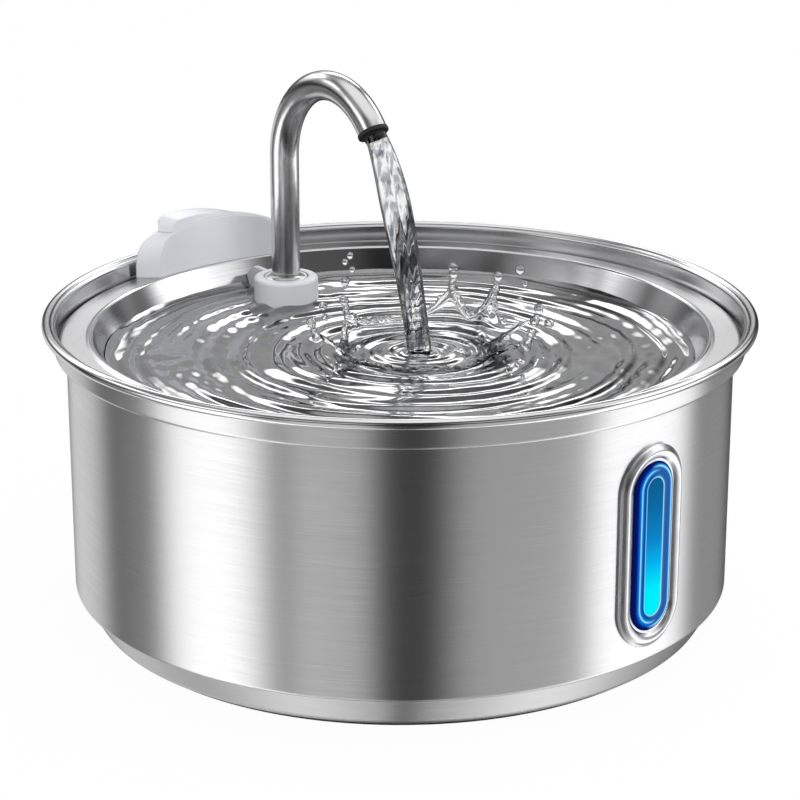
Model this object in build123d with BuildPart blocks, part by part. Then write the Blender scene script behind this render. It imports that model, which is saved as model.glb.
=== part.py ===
"""Stainless steel pet water fountain with a swivelling gooseneck spout.

Millimetres, +Z up. The origin is the centre of the bowl, on the surface it stands on.
The riser of the spout stands at +Y and the spout looks towards -Y.
"""
import os
from math import cos, pi, radians, sin, sqrt, tan

from build123d import *

# ------------------------------------------------------------------ driving dimensions
# Fits
turn_fit = 0.05  # radial clearance of a turning, sliding or plugged fit
drop_fit = 0.4  # clearance round a piece that drops into its place
tray_fit = 0.6  # clearance between the tray and the neck of the bowl

# Bowl, drawn from one sheet
sheet = 0.8
body_radius = 102.9
band_step = 1.5  # from the body in to the tapered foot band
band_height = 11.85
foot_taper = 6.0
bowl_bends = (5.0, 0.3, 1.2, 0.8, 1.2, 0.5)  # from the foot up to the rim
bowl_height = 98.2
neck_height = 9.9  # from the step up to the top of the rim
neck_step = 3.5
neck_flare = 0.2
bead_radius = 1.6
bead_reach = 2.0  # from the neck to the centre of the rolled bead
bead_lap = 0.1  # centre of the bead above the flange that rolls into it

# Foot ring
foot_ring_height = 1.2
foot_ring_width = 9.0
foot_ring_inset = 3.2

# Level window
window_azimuth = 10.7  # from -Y towards +X
window_height = 47.9  # centre above the ground
frame_half_width = 13.3
frame_half_height = 31.0
frame_stand_off = 2.2
frame_border = 4.8
frame_neck_wall = 1.75
frame_neck_depth = 2.6
lens_proud = 1.4
lens_flange = 1.6
diffuser_half_width = 3.6
diffuser_border = 4.4  # from the edge of the lens to the diffuser
diffuser_depth = 3.0
gasket_width = 3.6
retainer_thickness = 2.0

# Tray
skirt_height = 2.6
ledge_width = 9.8  # from the basin's mouth to the edge of the tray
lip_height = 1.3
lip_width = 1.7
basin_depth = 25.7  # from the ledge down to the floor
basin_taper = 14.2  # from the mouth in to the floor
tray_bends = (5.0, 0.95, 0.4, 1.2)  # from the floor out to the skirt

# Riser, gooseneck and collar
riser_inset = 13.3  # from the edge of the basin's floor in to the riser
spout_turn = 3.0  # rest angle of the spout, from -Y towards +X
tube_radius = 4.7
tube_wall = 0.8
bend_radius = 27.1
riser_height = 40.4  # straight length above the collar
bend_angle = 142.4
riser_depth = 23.4  # from the top of the collar down to the foot of the riser
collar_radius = 10.6
collar_rise = 1.2  # above the tray's ledge
collar_round = 1.2
collar_recess_radius = 7.4
collar_recess_depth = 1.2
collar_flow_radius = 3.6
spigot_radius = 8.5
spigot_length = 9.5  # below the tray's floor
rib_width = 1.8
rib_drop = 5.0  # from the top of the collar down to the rib where it meets the basin
rib_nose = 5.0  # length of the slope at its outer end
rib_height = 12.0
ferrule_radius = 7.0
ferrule_sleeve_wall = 1.15
ferrule_sleeve_length = 12.0
ferrule_rise = 2.3
ferrule_foot_rim = 0.9
ferrule_waist = 1.0  # thickness half way up its flare
ferrule_lip = 0.4  # thickness at its top
nozzle_flange_radius = 5.0
nozzle_flange = 1.4
nozzle_round = 0.35
nozzle_lip_radius = 3.4
nozzle_lip = 1.6
nozzle_bore = 2.6
nozzle_plug = 3.0
seal_thickness = 1.0
sleeve_wall = 1.1
riser_seal_section = 0.75
riser_seal_rise = 4.5  # above the foot of the riser
nut_radius = 12.0
nut_height = 5.5

# Pump box, hung under the tray
box_wall = 1.8
box_fore = 23.7  # from the riser forwards
box_aft = 24.7  # from the riser backwards
box_roof_aft = 13.3
box_shelf = 1.2  # thickness of the shelf under the sponge

# Pump
pump_axis_height = 36.0
casing_half_width = 18.0
casing_foot = 10.0
casing_top = 54.0
casing_wall = 1.6
casing_round = 2.4
chamber_radius = 14.0
chamber_length = 9.0
partition = 1.2
well_radius = 8.2
well_wall = 1.0
well_length = 14.6
bush_radius = 2.55
bush_length = 2.5
shaft_radius = 1.0
outlet_radius = 3.8
outlet_bore = 2.5
outlet_plug = 6.0  # length of the outlet in the collar's spigot
rear_cover_thickness = 1.6
impeller_radius = 12.0
impeller_disc = 1.4
blade_count = 6
blade_height = 4.6
blade_thickness = 1.2
hub_radius = 2.45
magnet_radius = 7.2
magnet_length = 12.0
core_length = 12.0
core_leg = 6.0
core_yoke = 6.0
winding = 1.7
cover_thickness = 4.5
cover_foot = 20.0
intake_radius = 7.0
bush_boss_radius = 4.0
spoke_count = 3
spoke_width = 1.8
slider_thickness = 1.5
slider_half_length = 11.0
slider_half_height = 6.4
slider_hole = 5.2
slider_tab = 2.0
slider_rail = 1.2
sponge_height = 27.6
sponge_thickness = 10.5
lamp_height = 14.6
lamp_radius = 2.4
lamp_length = 5.0
lamp_round = 1.9

# Pump lead
lead_radius = 1.3
lead_aft = 20.3  # from the riser to where it leaves the casing
lead_inset = 4.6  # from the edge of the tray to where it passes the ledge
lead_knee = 10.0  # height of its first bend above the casing
lead_shoulder = 10.7  # depth of its second bend below the ledge
gland_radius = 3.2
gland_height = 3.0
grommet_neck = 1.8
grommet_flange = 3.4
grommet_flange_thickness = 0.8

# Rear housing
housing_azimuth = 6.2  # from +Y towards -X
housing_set_back = 0.3  # from the foot of the tray's lip
housing_rim_gap = 0.6  # from the edge of the tray
housing_height = 16.1
housing_crown = 80.0  # radius of its arched top
housing_corner = 10.0
housing_front_half = 24.2
housing_splay = 46.0  # angle of its ends in plan
housing_wall = 1.2
cap_rise = 1.5  # its crest above the housing's, at the axis side
cap_pitch = 7.0  # angle at which it rises towards the back
cap_crown = 75.0
cap_crest = 9.0  # from its tall end to its crest
cap_tall_end = 16.5  # from the middle of the housing, at the axis side
cap_low_end = 7.6
cap_splay = 19.0  # angle of its ends in plan
cap_shoulder = 3.5  # rounding of its tall end
cap_inset = 0.6
cap_round = 0.8
cap_border = 1.2  # width of its seat round the opening
socket_length = 12.0
socket_height = 6.4
socket_rise = 9.6  # its centre above the ledge
socket_depth = 3.4
port_length = 8.4
port_height = 2.8
contact_thickness = 0.7
screw_radius = 1.0
screw_head_radius = 1.9
screw_head = 1.2
screw_length = 6.0
screw_spread = 12.5  # degrees between the screws, seen from the axis of the bowl
boss_height = 7.0

# Filter
basket_gap = 31.7  # from the riser's axis to the basket
basket_wall = 1.6
basket_depth = 14.0
basket_ledge = 2.0  # width of the ledge that the cartridge stands on
basket_hub_radius = 5.0
spider_arms = 6
spider_arm_width = 2.2
basket_flange = 3.0
basket_flange_thickness = 1.2
cartridge_height = 9.6
cartridge_wall = 1.2
fibre_thickness = 2.4
drain_thickness = 1.4
knob_radius = 5.0
knob_height = 6.0
knob_round = 1.5
drain_hole = 1.6
drain_ring_spacing = 5.6
drain_hole_pitch = 6.4
drain_inner_ring = 11.2

# ------------------------------------------------------------------ shared positions
foot_z = foot_ring_height
band_radius = body_radius - band_step
foot_radius = band_radius - foot_taper
neck_bottom = bowl_height - neck_height
neck_radius = body_radius + neck_step
bead_centre = neck_radius + bead_reach
bead_z = bowl_height - bead_radius
flange_z = bead_z - bead_lap
shelf_z = neck_bottom + sheet
ledge_z = shelf_z + skirt_height
tray_radius = neck_radius - sheet - tray_fit
mouth_radius = tray_radius - ledge_width
basin_floor_radius = mouth_radius - basin_taper
floor_z = ledge_z - basin_depth
floor_under = floor_z - sheet
basin_slope = basin_taper / (basin_depth + lip_height)
riser_radius = basin_floor_radius - riser_inset
collar_top = ledge_z + collar_rise
riser_foot = collar_top - riser_depth
bend_start = collar_top + riser_height
spigot_foot = floor_z - spigot_length
outlet_top = spigot_foot + outlet_plug
basket_radius = riser_radius - basket_gap
box_front = riser_radius - box_fore
box_back = riser_radius + box_aft
box_roof_back = riser_radius + box_roof_aft
lead_exit = riser_radius + lead_aft
lead_rise = tray_radius - lead_inset
housing_front_radius = mouth_radius + lip_width + housing_set_back
housing_back_radius = tray_radius - housing_rim_gap
socket_centre_height = ledge_z + socket_rise


def basin_radius(height):
    """Inner radius of the tray's basin wall at a height."""
    return basin_floor_radius + (height - floor_z) * basin_slope


def lengthwise(y):
    """Sketch plane across the Y axis at y: local x is X, local y is Z."""
    return Plane.XZ.offset(-y)


def save(piece, label):
    piece.part.label = label
    export_step(piece.part, f"parts/{label}.step")


os.makedirs("parts", exist_ok=True)

# ------------------------------------------------------------------ bowl
window_plane = Plane(
    origin=(0, 0, window_height),
    x_dir=(cos(radians(window_azimuth)), sin(radians(window_azimuth)), 0),
    z_dir=(sin(radians(window_azimuth)), -cos(radians(window_azimuth)), 0),
)
window_axis = Axis((0, 0, 0), window_plane.z_dir)
lens_half_width = frame_half_width - frame_border - turn_fit
lens_half_height = frame_half_height - frame_border - turn_fit
neck_half_width = lens_half_width + turn_fit + frame_neck_wall
neck_half_height = lens_half_height + turn_fit + frame_neck_wall


def racetrack(half_width, half_height):
    """Upright slot outline in the window plane."""
    SlotOverall(2 * half_height, 2 * half_width, rotation=90)


with BuildPart() as bowl:
    with BuildSketch(Plane.XZ):
        with BuildLine():
            FilletPolyline(
                (0, foot_z),
                (foot_radius, foot_z),
                (band_radius, band_height),
                (body_radius, band_height),
                (body_radius, neck_bottom),
                (neck_radius, neck_bottom),
                (neck_radius + neck_flare, flange_z),
                (bead_centre, flange_z),
                radius=bowl_bends,
            )
            offset(amount=sheet, side=Side.LEFT)
        make_face()
        with Locations((bead_centre, bead_z)):
            Circle(bead_radius)
    revolve(axis=Axis.Z)
    with BuildSketch(window_plane.offset(body_radius / 2)):
        racetrack(neck_half_width + drop_fit, neck_half_height + drop_fit)
    extrude(amount=body_radius, mode=Mode.SUBTRACT)
save(bowl, "bowl")

# ------------------------------------------------------------------ foot ring
foot_ring_outer = foot_radius - foot_ring_inset
with BuildPart() as foot_ring:
    with BuildSketch():
        Circle(foot_ring_outer)
        Circle(foot_ring_outer - foot_ring_width, mode=Mode.SUBTRACT)
    extrude(amount=foot_ring_height)
save(foot_ring, "foot_ring")

# ------------------------------------------------------------------ level window
body_inner = body_radius - sheet
frame_face = body_radius + frame_stand_off
flange_front = body_radius - frame_neck_depth
flange_back = flange_front - lens_flange

with BuildPart() as window_frame:
    with BuildSketch(window_plane.offset(body_radius - frame_half_width)):
        racetrack(frame_half_width, frame_half_height)
    extrude(amount=frame_half_width + frame_stand_off)
    with BuildSketch(Plane.XY):
        Circle(frame_face)
        Circle(body_radius, mode=Mode.SUBTRACT)
    extrude(amount=bowl_height, mode=Mode.INTERSECT)
    fillet(window_frame.faces().sort_by(SortBy.AREA)[-1].outer_wire().edges(), frame_stand_off / 2)
    with BuildSketch(window_plane.offset(flange_front)):
        racetrack(neck_half_width, neck_half_height)
    extrude(amount=frame_neck_depth + frame_stand_off / 2)
    with BuildSketch(window_plane.offset(flange_front)):
        racetrack(lens_half_width + turn_fit, lens_half_height + turn_fit)
    extrude(amount=frame_neck_depth + 2 * frame_stand_off, mode=Mode.SUBTRACT)
save(window_frame, "window_frame")

diffuser_half_height = lens_half_height - diffuser_border
with BuildPart() as window_lens:
    with BuildSketch(window_plane.offset(flange_back)):
        racetrack(lens_half_width, lens_half_height)
    extrude(amount=body_radius + lens_proud - flange_back)
    fillet(window_lens.faces().sort_by(window_axis)[-1].edges(), lens_proud)
    with BuildSketch(window_plane.offset(flange_back)):
        racetrack(neck_half_width, neck_half_height)
    extrude(amount=lens_flange)
    with BuildSketch(window_plane.offset(flange_back)):
        racetrack(diffuser_half_width + turn_fit, diffuser_half_height + turn_fit)
    extrude(amount=diffuser_depth + turn_fit, mode=Mode.SUBTRACT)
save(window_lens, "window_lens")

with BuildPart() as window_diffuser:
    with BuildSketch(window_plane.offset(flange_back)):
        racetrack(diffuser_half_width, diffuser_half_height)
    extrude(amount=diffuser_depth)
save(window_diffuser, "window_diffuser")

gasket_inner_width = neck_half_width + drop_fit
gasket_inner_height = neck_half_height + drop_fit
with BuildPart() as window_gasket:
    with BuildSketch(window_plane.offset(flange_back)):
        racetrack(gasket_inner_width + gasket_width, gasket_inner_height + gasket_width)
        SlotOverall(2 * gasket_inner_height, 2 * gasket_inner_width, rotation=90, mode=Mode.SUBTRACT)
    extrude(amount=body_inner)
    with BuildSketch():
        Circle(body_inner)
    extrude(amount=bowl_height, mode=Mode.INTERSECT)
save(window_gasket, "window_gasket")

with BuildPart() as window_retainer:
    with BuildSketch(window_plane.offset(flange_back - retainer_thickness)):
        racetrack(gasket_inner_width + gasket_width, gasket_inner_height + gasket_width)
        SlotOverall(2 * lens_half_height, 2 * lens_half_width, rotation=90, mode=Mode.SUBTRACT)
    extrude(amount=retainer_thickness)
save(window_retainer, "window_retainer")

# ------------------------------------------------------------------ tray
riser_plane = Plane.XY.move(Location((0, riser_radius, 0)))
riser_axis = Axis((0, riser_radius, 0), (0, 0, 1))
spigot_hole = spigot_radius + drop_fit
well_hole = basket_radius + drop_fit
housing_turn = radians(housing_azimuth)


def about_bowl(radius, azimuth):
    """Point at a radius, turned from +Y towards -X by an azimuth in degrees."""
    return (-radius * sin(radians(azimuth)), radius * cos(radians(azimuth)))


housing_middle = (housing_front_radius + housing_back_radius) / 2
boss_radius = (housing_back_radius - housing_front_radius - housing_wall) / 2
screw_places = [
    about_bowl(housing_middle, housing_azimuth - screw_spread),
    about_bowl(housing_middle, housing_azimuth + screw_spread),
]

with BuildPart() as tray:
    with BuildSketch(Plane.XZ):
        with BuildLine():
            FilletPolyline(
                (well_hole, floor_z),
                (basin_floor_radius, floor_z),
                (mouth_radius, ledge_z + lip_height),
                (mouth_radius + lip_width, ledge_z),
                (tray_radius, ledge_z),
                (tray_radius, shelf_z),
                radius=tray_bends,
            )
            offset(amount=sheet, side=Side.RIGHT)
        make_face()
    revolve(axis=Axis.Z)
    with BuildSketch(Plane.XY.offset(floor_under)):
        with Locations((0, riser_radius)):
            Circle(spigot_hole)
    extrude(amount=sheet, mode=Mode.SUBTRACT)
    with BuildSketch(Plane.XY.offset(ledge_z - 2 * sheet)):
        with Locations((0, lead_rise)):
            Circle(grommet_neck + turn_fit)
        with Locations(*screw_places):
            Circle(screw_radius + drop_fit / 2)
    extrude(amount=3 * sheet, mode=Mode.SUBTRACT)
save(tray, "tray")

# ------------------------------------------------------------------ collar and its fixings
bore_radius = tube_radius + turn_fit
ferrule_sleeve_radius = bore_radius + ferrule_sleeve_wall
recess_floor = collar_top - collar_recess_depth
ferrule_foot = recess_floor - ferrule_sleeve_length
seal_groove_radius = bore_radius + 2 * riser_seal_section + turn_fit
seal_groove_half = riser_seal_section + turn_fit
socket_radius = outlet_radius + sleeve_wall + 2 * turn_fit
socket_roof = outlet_top + drop_fit
column_foot = floor_z + seal_thickness
rib_top = collar_top - collar_round
rib_end = collar_top - rib_drop
rib_foot = rib_end - rib_height
rib_reach = basin_radius(rib_end) - drop_fit
riser_seal_height = riser_foot + riser_seal_rise

with BuildPart() as faucet_collar:
    with BuildSketch(riser_plane.offset(spigot_foot)):
        Circle(spigot_radius)
    extrude(amount=column_foot - spigot_foot)
    with BuildSketch(riser_plane.offset(column_foot)):
        Circle(collar_radius)
    extrude(amount=collar_top - column_foot)
    fillet(faucet_collar.edges().group_by(Axis.Z)[-1], collar_round)
    with BuildSketch(Plane.YZ):
        with BuildLine():
            Polyline(
                (riser_radius, rib_foot),
                (basin_radius(rib_foot) - drop_fit, rib_foot),
                (rib_reach, rib_end),
                (rib_reach - rib_nose, rib_top),
                (riser_radius, rib_top),
                close=True,
            )
        make_face()
    extrude(amount=rib_width / 2, both=True)
    with Locations(riser_plane.offset(recess_floor)):
        Cylinder(collar_recess_radius, collar_recess_depth, align=(Align.CENTER, Align.CENTER, Align.MIN),
                 mode=Mode.SUBTRACT)
    with Locations(riser_plane.offset(ferrule_foot)):
        Cylinder(ferrule_sleeve_radius + turn_fit, ferrule_sleeve_length,
                 align=(Align.CENTER, Align.CENTER, Align.MIN), mode=Mode.SUBTRACT)
    with Locations(riser_plane.offset(riser_foot)):
        Cylinder(bore_radius, ferrule_foot - riser_foot,
                 align=(Align.CENTER, Align.CENTER, Align.MIN), mode=Mode.SUBTRACT)
    with Locations(riser_plane.offset(riser_seal_height)):
        Cylinder(seal_groove_radius, 2 * seal_groove_half, mode=Mode.SUBTRACT)
    with Locations(riser_plane.offset(spigot_foot)):
        Cylinder(collar_flow_radius, riser_foot - spigot_foot,
                 align=(Align.CENTER, Align.CENTER, Align.MIN), mode=Mode.SUBTRACT)
        Cylinder(socket_radius, socket_roof - spigot_foot,
                 align=(Align.CENTER, Align.CENTER, Align.MIN), mode=Mode.SUBTRACT)
save(faucet_collar, "faucet_collar")

with BuildPart() as collar_seal:
    with BuildSketch(riser_plane.offset(floor_z)):
        Circle(collar_radius)
        Circle(spigot_radius + turn_fit, mode=Mode.SUBTRACT)
    extrude(amount=seal_thickness)
save(collar_seal, "collar_seal")

with BuildPart() as riser_seal:
    with BuildSketch(Plane.YZ):
        with Locations((riser_radius + bore_radius + riser_seal_section, riser_seal_height)):
            Circle(riser_seal_section)
    revolve(axis=riser_axis)
save(riser_seal, "riser_seal")

with BuildPart() as outlet_sleeve:
    with BuildSketch(riser_plane.offset(spigot_foot)):
        Circle(socket_radius - turn_fit)
        Circle(outlet_radius + turn_fit, mode=Mode.SUBTRACT)
    extrude(amount=outlet_top - spigot_foot)
save(outlet_sleeve, "outlet_sleeve")

box_roof = floor_under - box_wall
with BuildPart() as collar_nut:
    with BuildSketch(riser_plane.offset(box_roof - nut_height)):
        RegularPolygon(nut_radius, 6)
        Circle(spigot_radius + turn_fit, mode=Mode.SUBTRACT)
    extrude(amount=nut_height)
save(collar_nut, "collar_nut")

# ------------------------------------------------------------------ swivelling spout
with BuildPart() as swivel_ferrule:
    with BuildSketch(riser_plane.offset(ferrule_foot)):
        Circle(ferrule_sleeve_radius)
    extrude(amount=ferrule_sleeve_length)
    with BuildSketch(Plane.YZ):
        with BuildLine():
            Line((riser_radius, recess_floor), (riser_radius + ferrule_radius, recess_floor))
            Line(
                (riser_radius + ferrule_radius, recess_floor),
                (riser_radius + ferrule_radius, recess_floor + ferrule_foot_rim),
            )
            ThreePointArc(
                (riser_radius + ferrule_radius, recess_floor + ferrule_foot_rim),
                (riser_radius + tube_radius + ferrule_waist, recess_floor + ferrule_rise / 2),
                (riser_radius + tube_radius + ferrule_lip, recess_floor + ferrule_rise),
            )
            Polyline(
                (riser_radius + tube_radius + ferrule_lip, recess_floor + ferrule_rise),
                (riser_radius, recess_floor + ferrule_rise),
                (riser_radius, recess_floor),
            )
        make_face()
    revolve(axis=riser_axis)
    with Locations(riser_plane.offset(ferrule_foot)):
        Cylinder(bore_radius, ferrule_sleeve_length + ferrule_rise,
                 align=(Align.CENTER, Align.CENTER, Align.MIN), mode=Mode.SUBTRACT)
save(swivel_ferrule, "swivel_ferrule")

spout_plane = Plane(
    origin=(0, riser_radius, 0),
    x_dir=(sin(radians(spout_turn)), -cos(radians(spout_turn)), 0),
    z_dir=(-cos(radians(spout_turn)), -sin(radians(spout_turn)), 0),
)
tube_bore = tube_radius - tube_wall
with BuildPart() as faucet_tube:
    with BuildLine(spout_plane) as tube_path:
        Line((0, riser_foot), (0, bend_start))
        JernArc((0, bend_start), (0, 1), bend_radius, -bend_angle)
    with BuildSketch(riser_plane.offset(riser_foot)):
        Circle(tube_radius)
        Circle(tube_bore, mode=Mode.SUBTRACT)
    sweep(path=tube_path.wires()[0])
save(faucet_tube, "faucet_tube")

spout_end = Plane(origin=tube_path.wires()[0] @ 1, z_dir=tube_path.wires()[0] % 1)
with BuildPart() as nozzle_ring:
    with BuildSketch(spout_end):
        Circle(nozzle_flange_radius)
    extrude(amount=nozzle_flange)
    fillet(nozzle_ring.edges(), nozzle_round)
    with BuildSketch(spout_end.offset(-nozzle_plug)):
        Circle(tube_bore - drop_fit)
    extrude(amount=nozzle_plug + nozzle_flange / 2)
    with BuildSketch(spout_end):
        Circle(nozzle_lip_radius)
    extrude(amount=nozzle_flange + nozzle_lip)
    with BuildSketch(spout_end.offset(-nozzle_plug)):
        Circle(nozzle_bore)
    extrude(amount=nozzle_plug + nozzle_flange + nozzle_lip, mode=Mode.SUBTRACT)
save(nozzle_ring, "nozzle_ring")

# ------------------------------------------------------------------ pump box
box_inner_half = casing_half_width + drop_fit
box_outer_half = box_inner_half + box_wall
box_foot = casing_foot - box_wall
box_length = box_back - box_front
cover_back = riser_radius - chamber_length / 2
cover_front = cover_back - cover_thickness
sponge_foot = cover_foot + drop_fit
sponge_top = sponge_foot + sponge_height

with BuildPart() as pump_box:
    with BuildSketch(lengthwise(box_front)):
        with Locations((0, (box_foot + floor_under) / 2)):
            Rectangle(2 * box_outer_half, floor_under - box_foot)
        with Locations((0, (casing_foot + box_roof) / 2)):
            Rectangle(2 * box_inner_half, box_roof - casing_foot, mode=Mode.SUBTRACT)
    extrude(amount=-box_length)
    with Locations((0, (box_roof_back + box_back) / 2, (casing_top + floor_under) / 2)):
        Box(2 * box_inner_half, box_back - box_roof_back, floor_under - casing_top, mode=Mode.SUBTRACT)
    with BuildSketch(riser_plane.offset(box_roof)):
        Circle(spigot_hole)
    extrude(amount=box_wall, mode=Mode.SUBTRACT)
    with BuildSketch(lengthwise(box_front)):
        with Locations((0, cover_foot - box_shelf / 2)):
            Rectangle(2 * box_inner_half, box_shelf)
    extrude(amount=-(cover_front - box_front))
    with BuildSketch(lengthwise(box_front)):
        with Locations((0, (sponge_top + drop_fit + box_roof) / 2)):
            Rectangle(2 * box_inner_half, box_roof - sponge_top - drop_fit)
    extrude(amount=-box_wall)
save(pump_box, "pump_box")

# ------------------------------------------------------------------ pump casing and motor
chamber_back = cover_back + chamber_length
cavity_front = chamber_back + partition
well_back = cavity_front + well_length
well_outer = well_radius + well_wall
pocket_back = well_back + bush_length
pump_centre = (0, pump_axis_height)
cavity_half_width = casing_half_width - casing_wall
cavity_foot = casing_foot + casing_wall
cavity_top = casing_top - casing_wall
cavity_middle = (0, (cavity_foot + cavity_top) / 2)


def cavity_outline():
    """Outline of the motor's space inside the casing."""
    with Locations(cavity_middle):
        Rectangle(2 * cavity_half_width, cavity_top - cavity_foot)


with BuildPart() as pump_casing:
    with BuildSketch(lengthwise(cover_back)):
        with Locations((0, (casing_foot + casing_top) / 2)):
            RectangleRounded(2 * casing_half_width, casing_top - casing_foot, casing_round)
    extrude(amount=-(box_back - cover_back))
    with BuildSketch(lengthwise(cavity_front)):
        cavity_outline()
    extrude(amount=-(box_back - cavity_front), mode=Mode.SUBTRACT)
    with BuildSketch(lengthwise(cavity_front)):
        with Locations(pump_centre):
            Circle(well_outer)
    extrude(amount=-(well_length + well_wall))
    with BuildSketch(lengthwise(well_back)):
        with Locations(pump_centre):
            Circle(bush_radius + well_wall + turn_fit)
    extrude(amount=-(bush_length + well_wall))
    with BuildSketch(lengthwise(cover_back)):
        with Locations(pump_centre):
            Circle(chamber_radius)
    extrude(amount=-chamber_length, mode=Mode.SUBTRACT)
    with BuildSketch(lengthwise(chamber_back)):
        with Locations(pump_centre):
            Circle(well_radius)
    extrude(amount=-(well_back - chamber_back), mode=Mode.SUBTRACT)
    with BuildSketch(lengthwise(well_back)):
        with Locations(pump_centre):
            Circle(bush_radius + turn_fit)
    extrude(amount=-bush_length, mode=Mode.SUBTRACT)
    with BuildSketch(riser_plane.offset(casing_top - casing_wall)):
        Circle(outlet_radius)
    extrude(amount=outlet_top - casing_top + casing_wall)
    with BuildSketch(Plane.XY.offset(casing_top)):
        with Locations((0, lead_exit)):
            Circle(gland_radius)
    extrude(amount=gland_height, taper=12)
    with BuildSketch(riser_plane.offset(pump_axis_height)):
        Circle(outlet_bore)
    extrude(amount=outlet_top - pump_axis_height, mode=Mode.SUBTRACT)
    with BuildSketch(Plane.XY.offset(cavity_top)):
        with Locations((0, lead_exit)):
            Circle(lead_radius + turn_fit)
    extrude(amount=casing_wall + gland_height, mode=Mode.SUBTRACT)
    with BuildSketch(lengthwise(cover_back)):
        with Locations((0, lamp_height)):
            Circle(lamp_radius + turn_fit)
    extrude(amount=-lamp_length / 2, mode=Mode.SUBTRACT)
save(pump_casing, "pump_casing")

core_front = cavity_front + winding + 2 * turn_fit
core_middle = core_front + core_length / 2
core_gap = well_outer + drop_fit / 2
core_top = pump_axis_height + core_gap + core_leg
core_foot = cavity_foot + winding + turn_fit + (cavity_half_width - core_gap - core_leg)
yoke_top = core_foot + core_yoke
with BuildPart() as stator_core:
    with BuildSketch(lengthwise(core_front)):
        with Locations((0, (core_foot + core_top) / 2)):
            Rectangle(2 * (core_gap + core_leg), core_top - core_foot)
        with Locations(pump_centre):
            Circle(core_gap, mode=Mode.SUBTRACT)
        with Locations((0, (yoke_top + pump_axis_height) / 2)):
            Rectangle(2 * core_gap, pump_axis_height - yoke_top, mode=Mode.SUBTRACT)
    extrude(amount=-core_length)
save(stator_core, "stator_core")

with BuildPart() as stator_coil:
    coil_inner = core_yoke + 2 * turn_fit
    coil_length = core_length + 2 * turn_fit
    with Locations((0, core_middle, core_foot + core_yoke / 2)):
        Box(2 * (core_gap - turn_fit), coil_length + 2 * winding, coil_inner + 2 * winding)
    fillet(stator_coil.edges().filter_by(Axis.X), winding)
    with Locations((0, core_middle, core_foot + core_yoke / 2)):
        Box(2 * core_gap, coil_length, coil_inner, mode=Mode.SUBTRACT)
save(stator_coil, "stator_coil")

with BuildPart() as motor_potting:
    with BuildSketch(lengthwise(cavity_front)):
        cavity_outline()
        with Locations(pump_centre):
            Circle(well_outer, mode=Mode.SUBTRACT)
    extrude(amount=-(well_length + well_wall))
    with BuildSketch(lengthwise(well_back + well_wall)):
        cavity_outline()
        with Locations(pump_centre):
            Circle(bush_radius + well_wall + turn_fit, mode=Mode.SUBTRACT)
    extrude(amount=-bush_length)
    add(stator_core.part, mode=Mode.SUBTRACT)
    add(stator_coil.part, mode=Mode.SUBTRACT)
save(motor_potting, "motor_potting")

with BuildPart() as pump_rear_cover:
    with BuildSketch(lengthwise(box_back)):
        with Locations((0, (casing_foot + casing_top) / 2)):
            RectangleRounded(2 * casing_half_width, casing_top - casing_foot, casing_round)
    extrude(amount=-rear_cover_thickness)
save(pump_rear_cover, "pump_rear_cover")

with BuildPart() as pump_lamp:
    with BuildSketch(lengthwise(cover_back + lamp_length / 2)):
        with Locations((0, lamp_height)):
            Circle(lamp_radius)
    extrude(amount=lamp_length)
    fillet(pump_lamp.faces().sort_by(Axis.Y)[0].edges(), lamp_round)
save(pump_lamp, "pump_lamp")

# ------------------------------------------------------------------ rotor
bush_boss_back = cover_back + drop_fit
shaft_front = bush_boss_back - bush_length


def bush(front):
    """Rubber bush that holds one end of the shaft."""
    with BuildPart() as ring:
        with BuildSketch(lengthwise(front)):
            with Locations(pump_centre):
                Circle(bush_radius)
                Circle(shaft_radius + turn_fit, mode=Mode.SUBTRACT)
        extrude(amount=-bush_length)
    return ring


front_bush = bush(shaft_front)
save(front_bush, "front_bush")
rear_bush = bush(well_back)
save(rear_bush, "rear_bush")

with BuildPart() as pump_shaft:
    with BuildSketch(lengthwise(shaft_front)):
        with Locations(pump_centre):
            Circle(shaft_radius)
    extrude(amount=-(pocket_back - shaft_front))
save(pump_shaft, "pump_shaft")

disc_back = chamber_back - drop_fit
disc_front = disc_back - impeller_disc
blade_front = disc_front - blade_height
magnet_front = core_middle - magnet_length / 2
with BuildPart() as impeller:
    with BuildSketch(lengthwise(disc_front)):
        with Locations(pump_centre):
            Circle(impeller_radius)
    extrude(amount=-impeller_disc)
    with BuildSketch(lengthwise(blade_front)):
        with Locations(pump_centre):
            Circle(hub_radius)
            with PolarLocations((impeller_radius + hub_radius) / 2, blade_count):
                Rectangle(impeller_radius - hub_radius + blade_thickness, blade_thickness)
    extrude(amount=-blade_height)
    with BuildSketch(lengthwise(disc_back)):
        with Locations(pump_centre):
            Circle(hub_radius)
    extrude(amount=-(magnet_front + magnet_length - disc_back))
    with BuildSketch(lengthwise(blade_front)):
        with Locations(pump_centre):
            Circle(shaft_radius + turn_fit)
    extrude(amount=-(pocket_back - blade_front), mode=Mode.SUBTRACT)
    with BuildSketch(lengthwise(blade_front)):
        with Locations(pump_centre):
            Circle(2 * impeller_radius)
            Circle(impeller_radius, mode=Mode.SUBTRACT)
    extrude(amount=-blade_height, mode=Mode.SUBTRACT)
save(impeller, "impeller")

with BuildPart() as rotor_magnet:
    with BuildSketch(lengthwise(magnet_front)):
        with Locations(pump_centre):
            Circle(magnet_radius)
            Circle(hub_radius + turn_fit, mode=Mode.SUBTRACT)
    extrude(amount=-magnet_length)
save(rotor_magnet, "rotor_magnet")

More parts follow.
